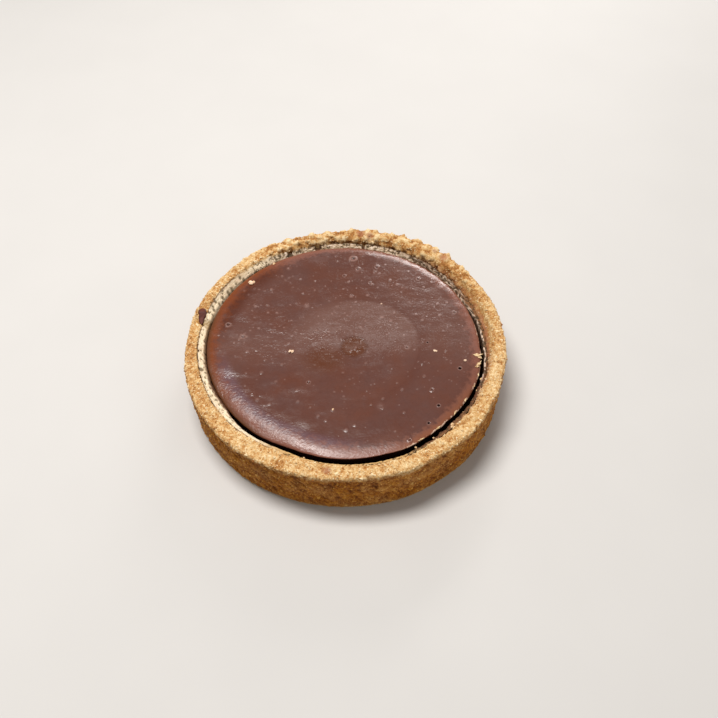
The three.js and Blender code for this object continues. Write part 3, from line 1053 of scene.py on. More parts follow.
def froth_pores():
    """Every pore as (angle, radius, half length, half width, slant, depth)."""
    draw = np.random.default_rng(31)
    pores = []
    for angle, share, long, wide in LEFT_PORES:
        inner = float(filling_edge(np.array(angle)))
        radius = mix(inner, float(hollow_wall(np.array(angle), 0.5)), share)
        slant = math.radians(SLANTED if angle < SLANTED_UNTIL else ALONG_RING)
        # Those behind the drip are bigger.
        bigger = 1.35 if angle < DRIP["angle"] else 1.05
        pores.append((angle, radius, 0.8 * bigger * long, bigger * wide, slant, 0.45))
    while len(pores) < PORES_IN_ALL:
        angle = draw.uniform(0, 360)
        torn = float(torn_share(np.array(angle)))
        if float(on("few pores", angle)) > draw.uniform(0, 1.12):
            continue
        inner = float(filling_edge(np.array(angle)))
        radius = draw.uniform(inner, float(hollow_wall(np.array(angle), 1.0)))
        long, wide = draw.uniform(0.22, 0.55), draw.uniform(0.1, 0.2)
        slant = draw.normal(0, 0.5) if torn > 0.5 else draw.uniform(0, math.pi)
        depth = draw.uniform(0.2, 0.5) * (1 + torn)
        long, wide = long * (1 + 0.9 * torn), wide * (1 + 0.6 * torn)
        pores.append((angle, radius, long, wide, slant, depth))
    return pores


def cut_pores(pores, angle, radius, on_top):
    """How deep each point lies in a pore, and how much of a pore it is."""
    sink, pit = np.zeros(len(angle)), np.zeros(len(angle))
    along = np.radians(angle) * FROTH_RADIUS
    half_ring = math.pi * FROTH_RADIUS
    for at, centre, long, wide, slant, depth in pores:
        away = along - math.radians(at) * FROTH_RADIUS
        near_along = (away + half_ring) % (2 * half_ring) - half_ring
        near = np.flatnonzero(on_top & (np.abs(near_along) < 1.6))
        forth, out = near_along[near], radius[near] - centre
        first = (forth * math.cos(slant) + out * math.sin(slant)) / long
        second = (out * math.cos(slant) - forth * math.sin(slant)) / wide
        hole = np.exp(-((first**2 + second**2) ** 1.5))
        sink[near] = np.maximum(sink[near], hole * depth)
        pit[near] = np.maximum(pit[near], hole)
    return sink, pit


def shape_froth(template):
    """Moves a point of the turned ring to where it lies on the tart."""
    angle, radius = polar(template)
    across, up = radius - TURNED_RADIUS, template[:, 2]
    top_depth = froth_top_depth(angle)
    depth = mix(FROTH_BOTTOM_DEPTH, top_depth, up)
    rim_line = from_polar(angle, FROTH_RADIUS + 0 * angle, 0 * angle)
    at_left = on("cream ring", angle)
    loose = at_left * (1 - 0.85 * on("joined front left", angle))
    outer = hollow_wall(angle, depth) - 0.1 - loose * np.maximum(0, 0.6 * waves(rim_line, 1.0, 17))
    closed = filling_edge(angle) + torn_line(angle) + 0.06
    closed += at_left * FROTH_LEAN * smoothstep(up, 0.78, 0.97)
    # Bubbles drift to and fro, so the ring is never a clean circle.
    ragged = 0.22 * waves(rim_line, 1.1, 8) + 0.12 * waves(rim_line, 0.45, 9)
    torn_edge = 0.10 * waves(rim_line, 2.0, 10) + 0.12 * waves(rim_line, 0.8, 16)
    opening = crack_opening(angle)
    touching = np.maximum(0, ragged) * (1.1 + 0.3 * torn_share(angle))
    open_edge = crack_width(angle) + torn_edge * (1 + 1.5 * on("ragged crack", angle))
    inner = np.minimum(closed + mix(touching, open_edge, opening), outer - 0.16)
    moved = mix(inner, outer, across)
    # At the back left it slopes down to the filling.
    sloping = on("froth slope", angle)
    slope = FROTH_SLOPE * (1 + 0.9 * sloping) * (outer - moved)
    return SimpleNamespace(
        angle=angle,
        across=across,
        on_top=up > 0.75,
        at_left=at_left,
        opening=opening,
        sloping=sloping,
        top_depth=top_depth,
        inner=inner,
        moved=moved,
        points=from_polar(angle, moved, TART_HEIGHT - depth - slope * up),
    )


def open_froth(spots):
    """How far the top sinks at its pores and gaps, how much of a pit each point is, and
    how much of the drip's film it has."""
    sink, pit = cut_pores(froth_pores(), spots.angle, spots.moved, spots.on_top)
    strays = 1.6 * waves(spots.points, 1.3, 15)
    for middle, half_width in FROTH_GAPS:
        gap = hump(spots.angle + strays, middle, half_width) ** 0.5
        gap = smoothstep(gap + 0.5 * waves(spots.points, 0.7, 14), 0.3, 0.75) * spots.on_top
        sink = np.maximum(sink, 1.1 * gap)
        pit = np.maximum(pit, gap)
    film = at_place(spots.angle + 0.5 * strays, DRIP_FILM)
    film = smoothstep(film + 0.5 * waves(spots.points, 0.8, 27), 0.2, 0.6) * spots.on_top
    sink = np.maximum(sink, 0.4 * film) * (1 - 0.7 * spots.opening)
    return sink, pit, film


def paint_froth(froth, spots, pit, film):
    """Where the material finds each tint of the froth."""
    angle, across, moved, points = spots.angle, spots.across, spots.moved, spots.points
    from_filling = moved - filling_edge(angle) + 0.35 * waves(points, 0.7, 24)
    from_crack = moved - spots.inner + 0.3 * waves(points, 0.6, 25)
    from_axis = moved + 0.4 * waves(points, 0.8, 29)
    shaded = spots.at_left * fade(from_filling, 0.3, 1.3) * (1 - 0.7 * spots.sloping)
    by_crust = on("gold back left", angle) * smoothstep(from_axis, 40.5, 41.3)
    # By the crack the froth is stained brown; beside the filling at the front left the same brown
    # is painted shade on the inner slope.
    by_crack = on("stained crack", angle) * fade(from_crack, 0.15, 1.2)
    by_filling = on("stained left", angle) * fade(from_filling, 0.5, 1.4)
    joined = 0.8 * np.maximum(on("joined front left", angle), on("joined back left", angle))
    lip = on("lip", angle) + 0.4 * on("faint lip", angle)
    lip = lip * fade(across, 0.36, 0.52) * spots.on_top
    deep_from = spots.top_depth + 0.5 * on("open crack", angle)
    deep_from = np.where(spots.opening > 0.4, deep_from, filling_edge_depth(angle))
    deep_from = np.where(spots.at_left > 0.5, spots.top_depth + 0.2, deep_from)
    deep_from = deep_from + 1.3 * spots.sloping
    paint(
        froth,
        pit=pit,
        film=film,
        cream=on("cream", angle),
        shaded=np.maximum(shaded, 0.25 * on("pinker", angle)),
        crusty=np.maximum(on("gold front", angle), by_crust),
        stained=np.maximum(by_crack, by_filling),
        torn=torn_share(angle),
        browned=on("browned", angle) * smoothstep(across, 0.34, 0.5),
        lip=lip * smoothstep(waves(points, 0.9, 22), -0.35, 0.05),
        # Painted shade down the froth's side into the crack, and a painted shade line along its
        # join with the crust.
        deep=smoothstep(TART_HEIGHT - points[:, 2] - deep_from, 0.5, 1.3),
        outer_line=smoothstep(across, 0.84, 1.0) * (1 - spots.opening) * (1 - joined),
        along=((angle - 270) % 360) * math.radians(1) * FROTH_RADIUS * MM,
        # Out from the axis over the top, and on down the side.
        out=(moved + points[:, 2]) * MM,
    )


def make_froth():
    froth = turned("froth_ring", froth_outline(), FROTH_STEPS)
    spots = shape_froth(points_of(froth))
    sink, pit, film = open_froth(spots)
    swell = (0.13 + 0.15 * on("swollen back", spots.angle)) * waves(spots.points, 0.9, 12)
    swell = swell + 0.08 * waves(spots.points, 0.4, 13)
    rise = swell * (1 - spots.across**6) - sink
    spots.points[:, 2] += np.where(spots.on_top, rise, 0)
    spots.points = keep_inside(spots.points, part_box("crust"))
    set_points(froth, spots.points)
    paint_froth(froth, spots, pit, film)
    return froth


# ---------------------------------------------------------------------------------------
# Small pieces
# ---------------------------------------------------------------------------------------
def make_drip():
    """The drip of chocolate caught in the notch of the rim."""
    pick_only()
    bpy.ops.mesh.primitive_uv_sphere_add(segments=64, ring_count=40, radius=MM)
    blob = bpy.context.object
    blob.name = blob.data.name = "chocolate_drip_skin"
    points = points_of(blob)
    half = np.array((DRIP["width"], DRIP["length"], DRIP["thickness"])) / 2
    # Its edges are square and torn, its top is flat, and it is narrower towards its tail.
    out = np.abs(points) ** 0.72 * np.sign(points)
    points = np.where(np.array((True, True, False)), out, points * (1 - 0.35 * np.abs(points)))
    taper = 0.78 - 0.40 * points[:, 1]
    points[:, 0] = points[:, 0] * taper + 0.08 * np.sin(3.1 * points[:, 1])
    points = points * half
    points += 0.30 * waves(points, 1.4, 41)[:, None] * np.array((1.0, 0.7, 0.2))
    points += 0.10 * waves(points, 0.6, 42)[:, None] * np.array((1.0, 1.0, 0.5))
    turn = np.array(Matrix.Rotation(math.radians(DRIP["angle"] + DRIP_LEAN), 3, "Z"))
    middle = from_polar(DRIP["angle"], DRIP["radius"], TART_HEIGHT - DRIP["sunk"])[0]
    set_points(blob, points @ turn.T + middle)
    bpy.ops.object.shade_smooth()
    return blob


# Torn flakes of froth on the filling's edge, each as (angle, inward, length, width, turn).
FLAKES = [
    (351.9, 1.0, 2.7, 0.8, 12), (351.2, 0.5, 1.7, 0.8, -38), (347.4, 0.5, 2.4, 0.7, 62),
    (345.6, 0.9, 1.2, 0.5, 20), (342.0, 0.15, 0.4, 1.2, 10), (336.0, 0.15, 0.35, 0.9, 5),
    (327.5, 0.2, 0.45, 1.1, 10), (320.0, 0.15, 0.4, 1.2, 15), (309.5, 0.2, 0.5, 1.5, 5),
    (301.0, 0.1, 0.4, 1.6, 0),
]


def make_flake(place, seed):
    angle, inward, length, width, turn = place
    pick_only()
    bpy.ops.mesh.primitive_circle_add(vertices=18, radius=MM, fill_type="NGON")
    flake = bpy.context.object
    with editing(flake):
        bpy.ops.mesh.select_all(action="SELECT")
        bpy.ops.mesh.inset(thickness=0.3 * MM)
        bpy.ops.mesh.select_all(action="SELECT")
        bpy.ops.mesh.extrude_region_move(TRANSFORM_OT_translate={"value": (0, 0, 0.16 * MM)})
        bpy.ops.mesh.select_all(action="SELECT")
        bpy.ops.mesh.normals_make_consistent(inside=False)
        bpy.ops.mesh.subdivide(number_cuts=1)
    points = points_of(flake)
    ring = np.hypot(points[:, 0], points[:, 1])
    torn = waves(np.column_stack((points[:, 0], points[:, 1], 0 * ring)), 0.55, seed)
    # Pointed at both ends, like a torn feather.
    points[:, 1] *= 1.25 - 0.95 * np.abs(points[:, 0])
    points[:, :2] *= (1 + 0.75 * torn * ring)[:, None]
    points[:, 0] *= length / 2
    points[:, 1] *= width / 2
    points[:, 2] += 0.16 * points[:, 0] ** 2 + 0.1 * waves(points, 0.4, seed + 1)
    edge = float(filling_edge(np.array(float(angle))))
    radius = edge - inward
    depth = float(filling_top_depth(np.array(float(angle)), np.array(radius / edge)))
    middle = from_polar(angle, radius, TART_HEIGHT - depth + 0.05)[0]
    turned_by = np.array(Matrix.Rotation(math.radians(angle + turn), 3, "Z"))
    set_points(flake, points @ turned_by.T + middle)
    return flake


def make_flakes():
    flakes = [make_flake(place, 50 + 3 * number) for number, place in enumerate(FLAKES)]
    pick_only(*flakes)
    bpy.ops.object.join()
    joined = bpy.context.object
    joined.name = joined.data.name = "froth_flakes"
    pick_only(joined)
    bpy.ops.object.transform_apply()
    bpy.ops.object.shade_smooth()
    return joined


# Crumbs on the filling, each as (x, y, size, tone).
CRUMBS = [
    (-28.3, 23.1, 0.85, 0.9), (-27.5, 23.4, 0.5, 0.8), (-15.4, -3.5, 0.5, 1.0),
    (-14.7, -3.6, 0.5, 0.9), (24.7, -3.8, 0.4, 1.0), (25.1, -3.9, 0.3, 0.9),
    (32.8, -7.3, 0.4, 1.0), (10.4, 14.0, 0.25, 1.0), (-21.9, 31.4, 0.45, 0.7),
    (-3.2, -23.3, 0.3, 0.8),
]
# Crumbs of froth and crust on the shell's inner edge and in the crack, as (angle, radius,
# depth, size).
EDGE_CRUMBS = [
    (314, 39.9, 0.6, 0.55), (313, 40.3, 0.5, 0.4), (340, 39.3, 1.4, 0.6),
    (343, 39.6, 1.5, 0.45), (334, 39.2, 1.5, 0.35), (255, 39.6, 0.6, 0.25),
    (277, 41.0, 0.4, 0.22), (297, 39.6, 1.0, 0.35), (305, 39.5, 1.2, 0.3),
    (322, 39.7, 1.1, 0.4), (329, 39.6, 1.3, 0.3),
]


def make_crumbs():
    spots, sizes, tones = [], [], []
    for x, y, size, tone in CRUMBS:
        angle, radius = polar(np.array([[x, y, 0.0]]))
        share = radius / filling_edge(angle)
        depth = filling_top_depth(angle, share)[0]
        spots.append((x, y, TART_HEIGHT - depth + 0.3 * size))
        sizes.append(size)
        tones.append(tone)
    for angle, radius, depth, size in EDGE_CRUMBS:
        spots.append(tuple(from_polar(angle, radius, TART_HEIGHT - depth)[0]))
        sizes.append(size)
        tones.append(0.7)
    pieces = []
    draw = np.random.default_rng(61)
    for number, (spot, size) in enumerate(zip(spots, sizes)):
        pick_only()
        bpy.ops.mesh.primitive_ico_sphere_add(subdivisions=3, radius=MM)
        crumb = bpy.context.object
        points = points_of(crumb)
        points *= (1 + 0.55 * waves(points, 0.8, 70 + number))[:, None]
        points *= size * np.array((1.0, 0.75, 0.55))
        turn = np.array(Euler((0, 0, draw.uniform(0, 6.28))).to_matrix())
        set_points(crumb, points @ turn.T + np.array(spot))
        paint(crumb, tone=np.full(len(points), tones[number]))
        pieces.append(crumb)
    pick_only(*pieces)
    bpy.ops.object.join()
    joined = bpy.context.object
    joined.name = joined.data.name = "crumbs"
    return joined


# ---------------------------------------------------------------------------------------
# Materials
# ---------------------------------------------------------------------------------------
class Finish:
    """A material and the few nodes that its finish is mixed from."""

    def __init__(self, name):
        self.material = bpy.data.materials.new(name)
        self.material.use_nodes = True
        self.nodes = self.material.node_tree.nodes
        self.links = self.material.node_tree.links
        self.nodes.clear()
        self.shader = self.nodes.new("ShaderNodeBsdfPrincipled")
        output = self.nodes.new("ShaderNodeOutputMaterial")
        self.links.new(self.shader.outputs["BSDF"], output.inputs["Surface"])
        self.place = self.nodes.new("ShaderNodeTexCoord").outputs["Object"]

    def set(self, **values):
        for name, value in values.items():
            self.shader.inputs[name.replace("_", " ")].default_value = value

    def feed(self, name, source):
        self.links.new(source, self.shader.inputs[name])

    def painted(self, name):
        node = self.nodes.new("ShaderNodeAttribute")
        node.attribute_name = name
        return node.outputs["Fac"]

    def noise(self, size, detail=2.0, rough=0.5, stretch=None, turn=0.0):
        """Smooth noise from 0 to 1, with features of about that many millimetres."""
        node = self.nodes.new("ShaderNodeTexNoise")
        node.inputs["Scale"].default_value = 1 / (size * MM)
        node.inputs["Detail"].default_value = detail
        node.inputs["Roughness"].default_value = rough
        self.links.new(self.stretched(stretch, turn), node.inputs["Vector"])
        return node.outputs["Fac"]

    def cells(self, size):
        """Small cells, each with its own colour."""
        node = self.nodes.new("ShaderNodeTexVoronoi")
        node.inputs["Scale"].default_value = 1 / (size * MM)
        self.links.new(self.place, node.inputs["Vector"])
        return node.outputs["Color"]

    def lay_out(self, along, out):
        """Reads places from two painted values, instead of from the piece's own axes."""
        node = self.nodes.new("ShaderNodeCombineXYZ")
        self.links.new(self.painted(along), node.inputs["X"])
        self.links.new(self.painted(out), node.inputs["Y"])
        self.place = node.outputs["Vector"]

    def stretched(self, stretch, turn=0.0):
        if stretch is None:
            return self.place
        node = self.nodes.new("ShaderNodeMapping")
        node.inputs["Scale"].default_value = stretch
        node.inputs["Rotation"].default_value = (0, 0, math.radians(turn))
        self.links.new(self.place, node.inputs["Vector"])
        return node.outputs["Vector"]

    def ramp(self, source, stops):
        """A colour for each value of the source. A stop is (position, colour or grey)."""
        node = self.nodes.new("ShaderNodeValToRGB")
        elements = node.color_ramp.elements
        stops = list(stops)
        while len(elements) < len(stops):
            elements.new(0.5)
        for element, (position, colour) in zip(elements, stops):
            if isinstance(colour, float):
                colour = (colour, colour, colour)
            element.position = position
            element.color = (*colour, 1)
        self.links.new(source, node.inputs["Fac"])
        return node.outputs["Color"]

    def span(self, source, spread, values):
        """Draws the spread of the source out over the values."""
        node = self.nodes.new("ShaderNodeMapRange")
        ends = zip(("From Min", "From Max", "To Min", "To Max"), (*spread, *values))
        for name, value in ends:
            node.inputs[name].default_value = value
        self.links.new(source, node.inputs["Value"])
        return node.outputs["Result"]

    def patches(self, size, detail, rough, spread, values):
        return self.span(self.noise(size, detail, rough), spread, values)

    def plug(self, socket, value):
        """Sets a socket to a number or a colour, or links a source to it."""
        if isinstance(value, (int, float)):
            socket.default_value = value
        elif isinstance(value, tuple):
            socket.default_value = (*value, 1)
        else:
            self.links.new(value, socket)

    def math(self, kind, first, second):
        node = self.nodes.new("ShaderNodeMath")
        node.operation = kind
        self.plug(node.inputs[0], first)
        self.plug(node.inputs[1], second)
        return node.outputs["Value"]

    def times(self, first, second):
        return self.math("MULTIPLY", first, second)

    def minus(self, first, second):
        return self.math("SUBTRACT", first, second)

    def plus(self, first, *others):
        for other in others:
            first = self.math("ADD", first, other)
        return first

    def blend(self, share, first, second, kind="MIX"):
        node = self.nodes.new("ShaderNodeMix")
        node.data_type = "RGBA"
        node.blend_type = kind
        ends = (("Factor", "VALUE", share), ("A", "RGBA", first), ("B", "RGBA", second))
        for name, holds, value in ends:
            socket = next(each for each in node.inputs if (each.name, each.type) == (name, holds))
            self.plug(socket, value)
        return next(each for each in node.outputs if each.type == "RGBA")

    def over(self, colour, *coats):
        """Lays coats over a colour, each as (name of its painted share, colour)."""
        for name, coat in coats:
            colour = self.blend(self.painted(name), colour, coat)
        return colour

    def bump(self, source, strength, height):
        node = self.nodes.new("ShaderNodeBump")
        node.inputs["Strength"].default_value = strength
        node.inputs["Distance"].default_value = height * MM
        self.links.new(source, node.inputs["Height"])
        self.links.new(node.outputs["Normal"], self.shader.inputs["Normal"])


PALE_CRUST = (0.82, 0.65, 0.39)
GOLD_CRUST = (0.60, 0.38, 0.158)
DEEP_CRUST = (0.44, 0.20, 0.055)
BROWN_CRUST = (0.25, 0.098, 0.022)
HOLLOW_CRUST = (0.46, 0.225, 0.065)
WORN_CRUST = (0.79, 0.75, 0.68)
CHOCOLATE_STAIN = (0.33, 0.125, 0.065)
RIM_COLOURS = [BROWN_CRUST, DEEP_CRUST, GOLD_CRUST, PALE_CRUST]
# Down the outer wall: browner from the bake, and darker and redder as painted shade and painted
# warm bounced light.
WALL_COLOURS = [
    (0.14, 0.036, 0.002), (0.32, 0.102, 0.005), (0.47, 0.178, 0.012), (0.70, 0.36, 0.05),
]
PALE_CRUMB = (0.86, 0.62, 0.44)


def crust_colour(finish, tone):
    """Pale sandy crumb on the rim, browner down the wall, partly from the bake and partly as
    painted shade, and painted shade inside the shell.
    """
    # Painted shade darkens the rim at the left and back right.
    tone = finish.minus(tone, finish.times(finish.painted("baked"), 0.075))
    # Painted shade darkens the crumb down inside the shell.
    tone = finish.minus(tone, finish.times(finish.painted("hollow"), 0.12))
    tone = finish.plus(tone, finish.patches(3.2, 3, 0.5, (0.32, 0.68), (-0.05, 0.07)))
    on_rim = finish.ramp(tone, zip((0.16, 0.34, 0.52, 0.86), RIM_COLOURS))
    on_wall = finish.ramp(tone, zip((0.22, 0.45, 0.66, 0.92), WALL_COLOURS))
    patches = finish.patches(7.0, 3, 0.5, (0.3, 0.7), (0.75, 1.1))
    colour = finish.blend(finish.times(finish.painted("wall"), patches), on_rim, on_wall)
    # Painted shade in blotches on the worn slope at the right.
    blotches = finish.patches(1.6, 3, 0.6, (0.35, 0.65), (0.3, 1.7))
    worn = finish.times(finish.painted("worn"), blotches)
    colour = finish.blend(worn, colour, WORN_CRUST, "MULTIPLY")
    # Painted shade down inside the shell, patchy so that the crumb shows through.
    uneven = finish.patches(0.9, 3, 0.6, (0.35, 0.65), (0.0, 0.6))
    hollow = finish.times(finish.painted("hollow"), uneven)
    colour = finish.blend(hollow, colour, HOLLOW_CRUST)
    return finish.over(colour, ("stain", CHOCOLATE_STAIN))


def baked_crust():
    finish = Finish("baked_shortcrust")
    finish.set(Roughness=0.86, Specular_IOR_Level=0.25)
    tone = finish.plus(
        finish.patches(1.3, 4, 0.6, (0.3, 0.7), (0.41, 0.67)),
        # Painted shade in the crumb's dips and painted light on its crests.
        finish.span(finish.painted("raised"), (-1.6, 1.6), (-0.28, 0.28)),
        finish.patches(0.34, 3, 0.6, (0.25, 0.75), (-0.2, 0.2)),
        finish.span(finish.cells(0.5), (0.0, 1.0), (-0.13, 0.13)),
    )
    finish.feed("Base Color", crust_colour(finish, tone))
    finish.bump(finish.noise(0.22, 3, 0.6), 0.6, 0.12)
    return finish.material


def crust_grain():
    finish = Finish("shortcrust_grain")
    finish.set(Roughness=0.72)
    fine = finish.patches(0.3, 2, 0.5, (0.3, 0.7), (-0.12, 0.12))
    tone = finish.plus(finish.span(finish.painted("tone"), (0, 1), (0.36, 0.98)), fine)
    finish.feed("Base Color", crust_colour(finish, tone))
    finish.bump(finish.noise(0.15, 2), 0.4, 0.05)
    return finish.material


RED_CHOCOLATE = (0.109, 0.035, 0.0205)
WARM_CHOCOLATE = (0.098, 0.029, 0.011)
COOL_CHOCOLATE = (0.096, 0.038, 0.029)
LILAC_CHOCOLATE = (0.117, 0.056, 0.062)
DUSK_CHOCOLATE = (0.082, 0.022, 0.011)
MAUVE_EDGE = (0.190, 0.082, 0.062)
BLOOMED_CHOCOLATE = (0.145, 0.071, 0.055)
THIN_CHOCOLATE = (0.230, 0.078, 0.035)
THIN_LEFT = (0.190, 0.043, 0.007)
THIN_RIGHT = (0.225, 0.084, 0.054)
EDGE_CHOCOLATE = (0.105, 0.036, 0.012)
PALE_BUBBLE = (0.32, 0.185, 0.155)
TORN_RIND = (0.66, 0.46, 0.34)
DARK_CHOCOLATE = (0.022, 0.006, 0.003)
DRIP_COLOURS = [(0.040, 0.006, 0.004), (0.115, 0.026, 0.013)]


def chocolate_colour(finish):
    """Red-brown, with a painted grey sheen in the middle and a painted orange glow where the edge
    is thin.
    """
    colour = finish.ramp(finish.noise(8.0, 4, 0.6), [(0.34, COOL_CHOCOLATE), (0.66, RED_CHOCOLATE)])
    colour = finish.over(
        colour,
        ("bloom", BLOOMED_CHOCOLATE),
        ("warm", WARM_CHOCOLATE),
        ("lilac", LILAC_CHOCOLATE),
        ("dusk", DUSK_CHOCOLATE),
    )
    inward = finish.painted("inward")
    # Painted glow where the thin edge lets light through, with a painted mauve sheen on its inner
    # side.
    wander = finish.patches(1.8, 4, 0.6, (0.32, 0.68), (0.55, 1.45))
    share = finish.math("DIVIDE", inward, finish.times(finish.painted("thin"), wander))
    veil = finish.over(finish.ramp(share, [(0.45, 0.55), (1.0, 0.0)]), ("left", (0.0, 0.0, 0.0)))
    colour = finish.blend(veil, colour, MAUVE_EDGE)
    glow = finish.ramp(share, [(0.0, 0.95), (0.3, 0.75), (0.7, 0.25), (1.1, 0.0)])
    thin = finish.blend(finish.painted("left"), THIN_CHOCOLATE, THIN_LEFT)
    thin = finish.over(thin, ("right", THIN_RIGHT))
    colour = finish.blend(glow, colour, thin)
    brink = finish.times(finish.span(inward, (0.2, 1.5), (1.0, 0.0)), finish.painted("brink"))
    colour = finish.blend(brink, colour, EDGE_CHOCOLATE)
    specks = finish.patches(0.55, 3, 0.7, (0.3, 0.75), (0.90, 1.12))
    colour = finish.blend(1.0, colour, finish.ramp(specks, [(0.0, 0.0), (1.0, 1.0)]), "MULTIPLY")
    # A torn rind of froth clings to the edge at the right.
    frayed = finish.plus(inward, finish.patches(0.5, 3, 0.5, (0.3, 0.7), (-0.25, 0.25)))
    rind = finish.times(finish.span(frayed, (0.2, 0.34), (1.0, 0.0)), finish.painted("rind"))
    rind = finish.times(rind, finish.patches(1.4, 2, 0.5, (0.44, 0.52), (0.0, 0.9)))
    colour = finish.blend(rind, colour, TORN_RIND)
    # Paleness with painted highlight on bubbles, and painted shade in pits, at bubbles' feet and
    # down the side into the crack.
    return finish.over(
        colour, ("pale", PALE_BUBBLE), ("dark", DARK_CHOCOLATE), ("side", DARK_CHOCOLATE)
    )


def set_chocolate():
    finish = Finish("set_chocolate")
    finish.set(Roughness=0.36, IOR=1.46)
    finish.feed("Base Color", chocolate_colour(finish))
    uneven, leathery = finish.painted("uneven"), finish.painted("leathery")
    rough = finish.span(finish.noise(6.0, 6, 0.92, (0.7, 1.0, 1.0)), (0.36, 0.64), (-0.14, 0.14))
    rough = finish.plus(finish.times(rough, uneven), 0.3)
    rough = finish.minus(rough, finish.times(finish.painted("sleek"), 0.08))
    rough = finish.plus(rough, finish.times(finish.painted("pale"), 0.3))
    finish.feed("Roughness", finish.plus(rough, finish.times(leathery, 0.06)))
    streaks = finish.times(finish.noise(2.0, 5, 0.66, (0.6, 1.0, 1.0)), 4.5)
    leather = finish.times(finish.noise(0.75, 1, 0.5, (1.0, 1.25, 1.0), 35), leathery)
    fine = finish.times(finish.times(finish.noise(0.4, 3, 0.6), 0.5), uneven)
    relief = finish.plus(fine, finish.times(streaks, finish.painted("streaked")))
    finish.bump(finish.plus(relief, finish.times(leather, 2.0)), 1.0, 0.045)
    return finish.material


def drip_chocolate():
    finish = Finish("dripped_chocolate")
    finish.set(Roughness=0.55, IOR=1.35)
    finish.feed("Base Color", finish.ramp(finish.noise(1.6, 3), zip((0.35, 0.7), DRIP_COLOURS)))
    finish.bump(finish.noise(0.5, 3), 0.4, 0.06)
    return finish.material


CREAM_FROTH = (0.825, 0.70, 0.51)
PINK_FROTH = (0.68, 0.47, 0.34)
SHADED_FROTH = (0.36, 0.22, 0.115)
BEIGE_FROTH = (0.53, 0.40, 0.28)
OLIVE_FROTH = (0.30, 0.22, 0.13)
GREY_FROTH = (0.31, 0.205, 0.14)
PALE_FIBRE = (0.75, 0.63, 0.51)
FROTH_LIP = (0.70, 0.54, 0.42)
BROWNED_FROTH = (0.20, 0.088, 0.034)
STAINED_FROTH = (0.095, 0.034, 0.014)
PORE = (0.060, 0.036, 0.016)
OLIVE_PORE = (0.18, 0.13, 0.07)
FROTH_LINE = (0.100, 0.040, 0.014)
DRIP_FILM_COLOUR = (0.31, 0.195, 0.080)
TORN_COLOURS = [PORE, GREY_FROTH, GREY_FROTH, PALE_FIBRE]
WHOLE_COLOURS = [PORE, OLIVE_FROTH, BEIGE_FROTH, PALE_FIBRE]
FROTH_SHADES = [(0.3, (0.60, 0.54, 0.44)), (0.5, (0.93, 0.91, 0.87)), (0.6, (1, 1, 1))]
FLAKE_COLOURS = [(0.42, 0.24, 0.10), (0.66, 0.47, 0.25), (0.85, 0.70, 0.46)]


def dried_froth():
    finish = Finish("dried_froth")
    finish.set(Roughness=0.85, Specular_IOR_Level=0.25)
    finish.lay_out("along", "out")
    # Torn fibres lie along the ring.
    fibres = finish.noise(0.55, 3, 0.6, (0.4, 1.3, 1.0))
    torn = finish.ramp(fibres, zip((0.39, 0.46, 0.53, 0.63), TORN_COLOURS))
    lumpy = finish.noise(0.9, 3, 0.6, (0.7, 1.0, 1.0))
    whole = finish.ramp(lumpy, zip((0.36, 0.43, 0.52, 0.62), WHOLE_COLOURS))
    pinkish = finish.patches(1.6, 2, 0.5, (0.5, 0.75), (0.0, 0.6))
    cream = finish.blend(pinkish, CREAM_FROTH, PINK_FROTH)
    colour = finish.over(
        whole, ("torn", torn), ("cream", cream), ("crusty", GOLD_CRUST), ("shaded", SHADED_FROTH)
    )
    slanted = finish.noise(0.5, 2, 0.5, (0.45, 1.2, 1.0), 40)
    colour = finish.blend(1.0, colour, finish.ramp(slanted, FROTH_SHADES), "MULTIPLY")
    # Browned froth, stains with painted shade at the front left, and a paler lip.
    colour = finish.over(
        colour, ("browned", BROWNED_FROTH), ("stained", STAINED_FROTH), ("lip", FROTH_LIP)
    )
    # Painted shade in the pores and gaps, then a painted shade line along the join with the crust.
    pore = finish.blend(finish.painted("cream"), PORE, OLIVE_PORE)
    pits = finish.ramp(finish.painted("pit"), [(0.15, 0.0), (0.7, 0.9)])
    colour = finish.over(finish.blend(pits, colour, pore), ("outer_line", FROTH_LINE))
    patchy = finish.patches(0.7, 3, 0.6, (0.35, 0.65), (0.45, 1.0))
    film = finish.times(finish.painted("film"), patchy)
    colour = finish.blend(film, colour, DRIP_FILM_COLOUR)
    # Painted shade down the side into the crack.
    colour = finish.blend(finish.times(finish.painted("deep"), 0.9), colour, FROTH_LINE)
    finish.feed("Base Color", colour)
    finish.bump(finish.noise(0.3, 3, 0.6, (0.5, 1.1, 1.0), 40), 0.7, 0.08)
    return finish.material


def froth_flake():
    finish = Finish("froth_flake")
    finish.set(Roughness=0.8)
    colour = finish.ramp(finish.noise(0.6, 3), zip((0.3, 0.5, 0.7), FLAKE_COLOURS))
    finish.feed("Base Color", colour)
    finish.bump(finish.noise(0.2, 3), 0.5, 0.06)
    return finish.material


def crumb_finish():
    finish = Finish("golden_crumb")
    finish.set(Roughness=0.7)
    fine = finish.patches(0.35, 2, 0.5, (0.3, 0.7), (-0.15, 0.15))
    tone = finish.plus(finish.painted("tone"), fine)
    colour = finish.ramp(tone, [(0.3, DEEP_CRUST), (0.6, GOLD_CRUST), (0.95, PALE_CRUMB)])
    finish.feed("Base Color", colour)
    finish.bump(finish.noise(0.2, 3), 0.5, 0.06)
    return finish.material


def dress(piece, material):
    piece.data.materials.clear()
    piece.data.materials.append(material)


# ---------------------------------------------------------------------------------------
# Making the tart
# ---------------------------------------------------------------------------------------
crust = make_crust()
dress(crust, baked_crust())
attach(crust, "root")
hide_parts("crust")

crust_grains = make_crust_grains(crust)
dress(crust_grains, crust_grain())
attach(crust_grains, "root")

filling = make_filling()
dress(filling, set_chocolate())
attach(filling, "root")
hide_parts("filling")

froth = make_froth()
dress(froth, dried_froth())
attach(froth, "root")
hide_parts("froth_lining")

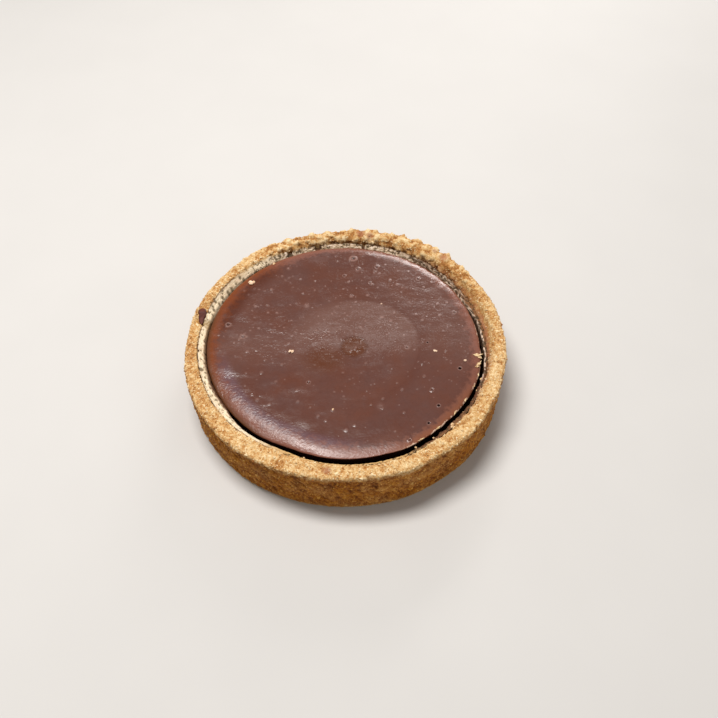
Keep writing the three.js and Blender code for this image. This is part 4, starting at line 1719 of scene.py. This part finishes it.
drip_skin = make_drip()
dress(drip_skin, drip_chocolate())
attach(drip_skin, "root")
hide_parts("chocolate_drip")

flakes = make_flakes()
dress(flakes, froth_flake())
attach(flakes, "root")

crumbs = make_crumbs()
dress(crumbs, crumb_finish())
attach(crumbs, "root")

# ---------------------------------------------------------------------------------------
# Floor, light and camera, in metres apart from the camera's place
# ---------------------------------------------------------------------------------------
FLOOR_SIZE = 4.0
FLOOR_COLOUR = (0.60, 0.59, 0.57)
CAMERA_PLACE = (4.8, -148.2, 191.3)
CAMERA_TURN = (38.735, 0.603, -0.324)
CAMERA_LENS = 41.3
WORLD_COLOUR = (0.27, 0.262, 0.25)
LIGHT_COLOUR = (1.0, 0.965, 0.94)
LIGHT_DISTANCE = 0.60
# Soft lights, each as (name, direction, (width, height), power).
LIGHTS = [
    ("overhead", (-0.22, 0.13, 0.967), (0.34, 0.17), 3.9),
    ("back_fill", (0.27, 0.88, 0.36), (0.34, 0.11), 1.2),
    ("side_fill", (0.80, -0.50, 0.36), (0.40, 0.30), 0.45),
]


def make_floor():
    pick_only()
    bpy.ops.mesh.primitive_plane_add(size=FLOOR_SIZE)
    floor = bpy.context.object
    floor.name = "floor"
    finish = Finish("pale_floor")
    finish.set(Roughness=0.7)
    light = finish.ramp(finish.noise(30.0, 2), [(0.3, 0.98), (0.7, 1.0)])
    finish.feed("Base Color", finish.blend(1.0, FLOOR_COLOUR, light, "MULTIPLY"))
    dress(floor, finish.material)


def add_light(name, direction, size, power):
    """A soft light that looks at the tart."""
    towards = Vector(direction).normalized()
    light = bpy.data.lights.new(name, "AREA")
    light.shape = "ELLIPSE"
    light.size, light.size_y = size
    light.color = LIGHT_COLOUR
    light.energy = power
    lamp = bpy.data.objects.new(name, light)
    bpy.context.scene.collection.objects.link(lamp)
    lamp.location = towards * LIGHT_DISTANCE
    lamp.rotation_euler = (-math.asin(towards.y), math.atan2(towards.x, towards.z), 0)


def light_studio():
    for each in LIGHTS:
        add_light(*each)
    world = bpy.data.worlds.new("studio")
    world.use_nodes = True
    world.node_tree.nodes["Background"].inputs["Color"].default_value = (*WORLD_COLOUR, 1)
    bpy.context.scene.world = world


def place_camera():
    camera = bpy.data.objects.new("camera", bpy.data.cameras.new("camera"))
    bpy.context.scene.collection.objects.link(camera)
    camera.location = [value * MM for value in CAMERA_PLACE]
    camera.rotation_euler = [math.radians(value) for value in CAMERA_TURN]
    camera.data.lens = CAMERA_LENS
    camera.data.sensor_width = 36
    camera.data.clip_start = 0.01
    bpy.context.scene.camera = camera


make_floor()
light_studio()
place_camera()
bpy.context.scene.view_settings.view_transform = "Standard"
bpy.context.scene.view_settings.look = "None"
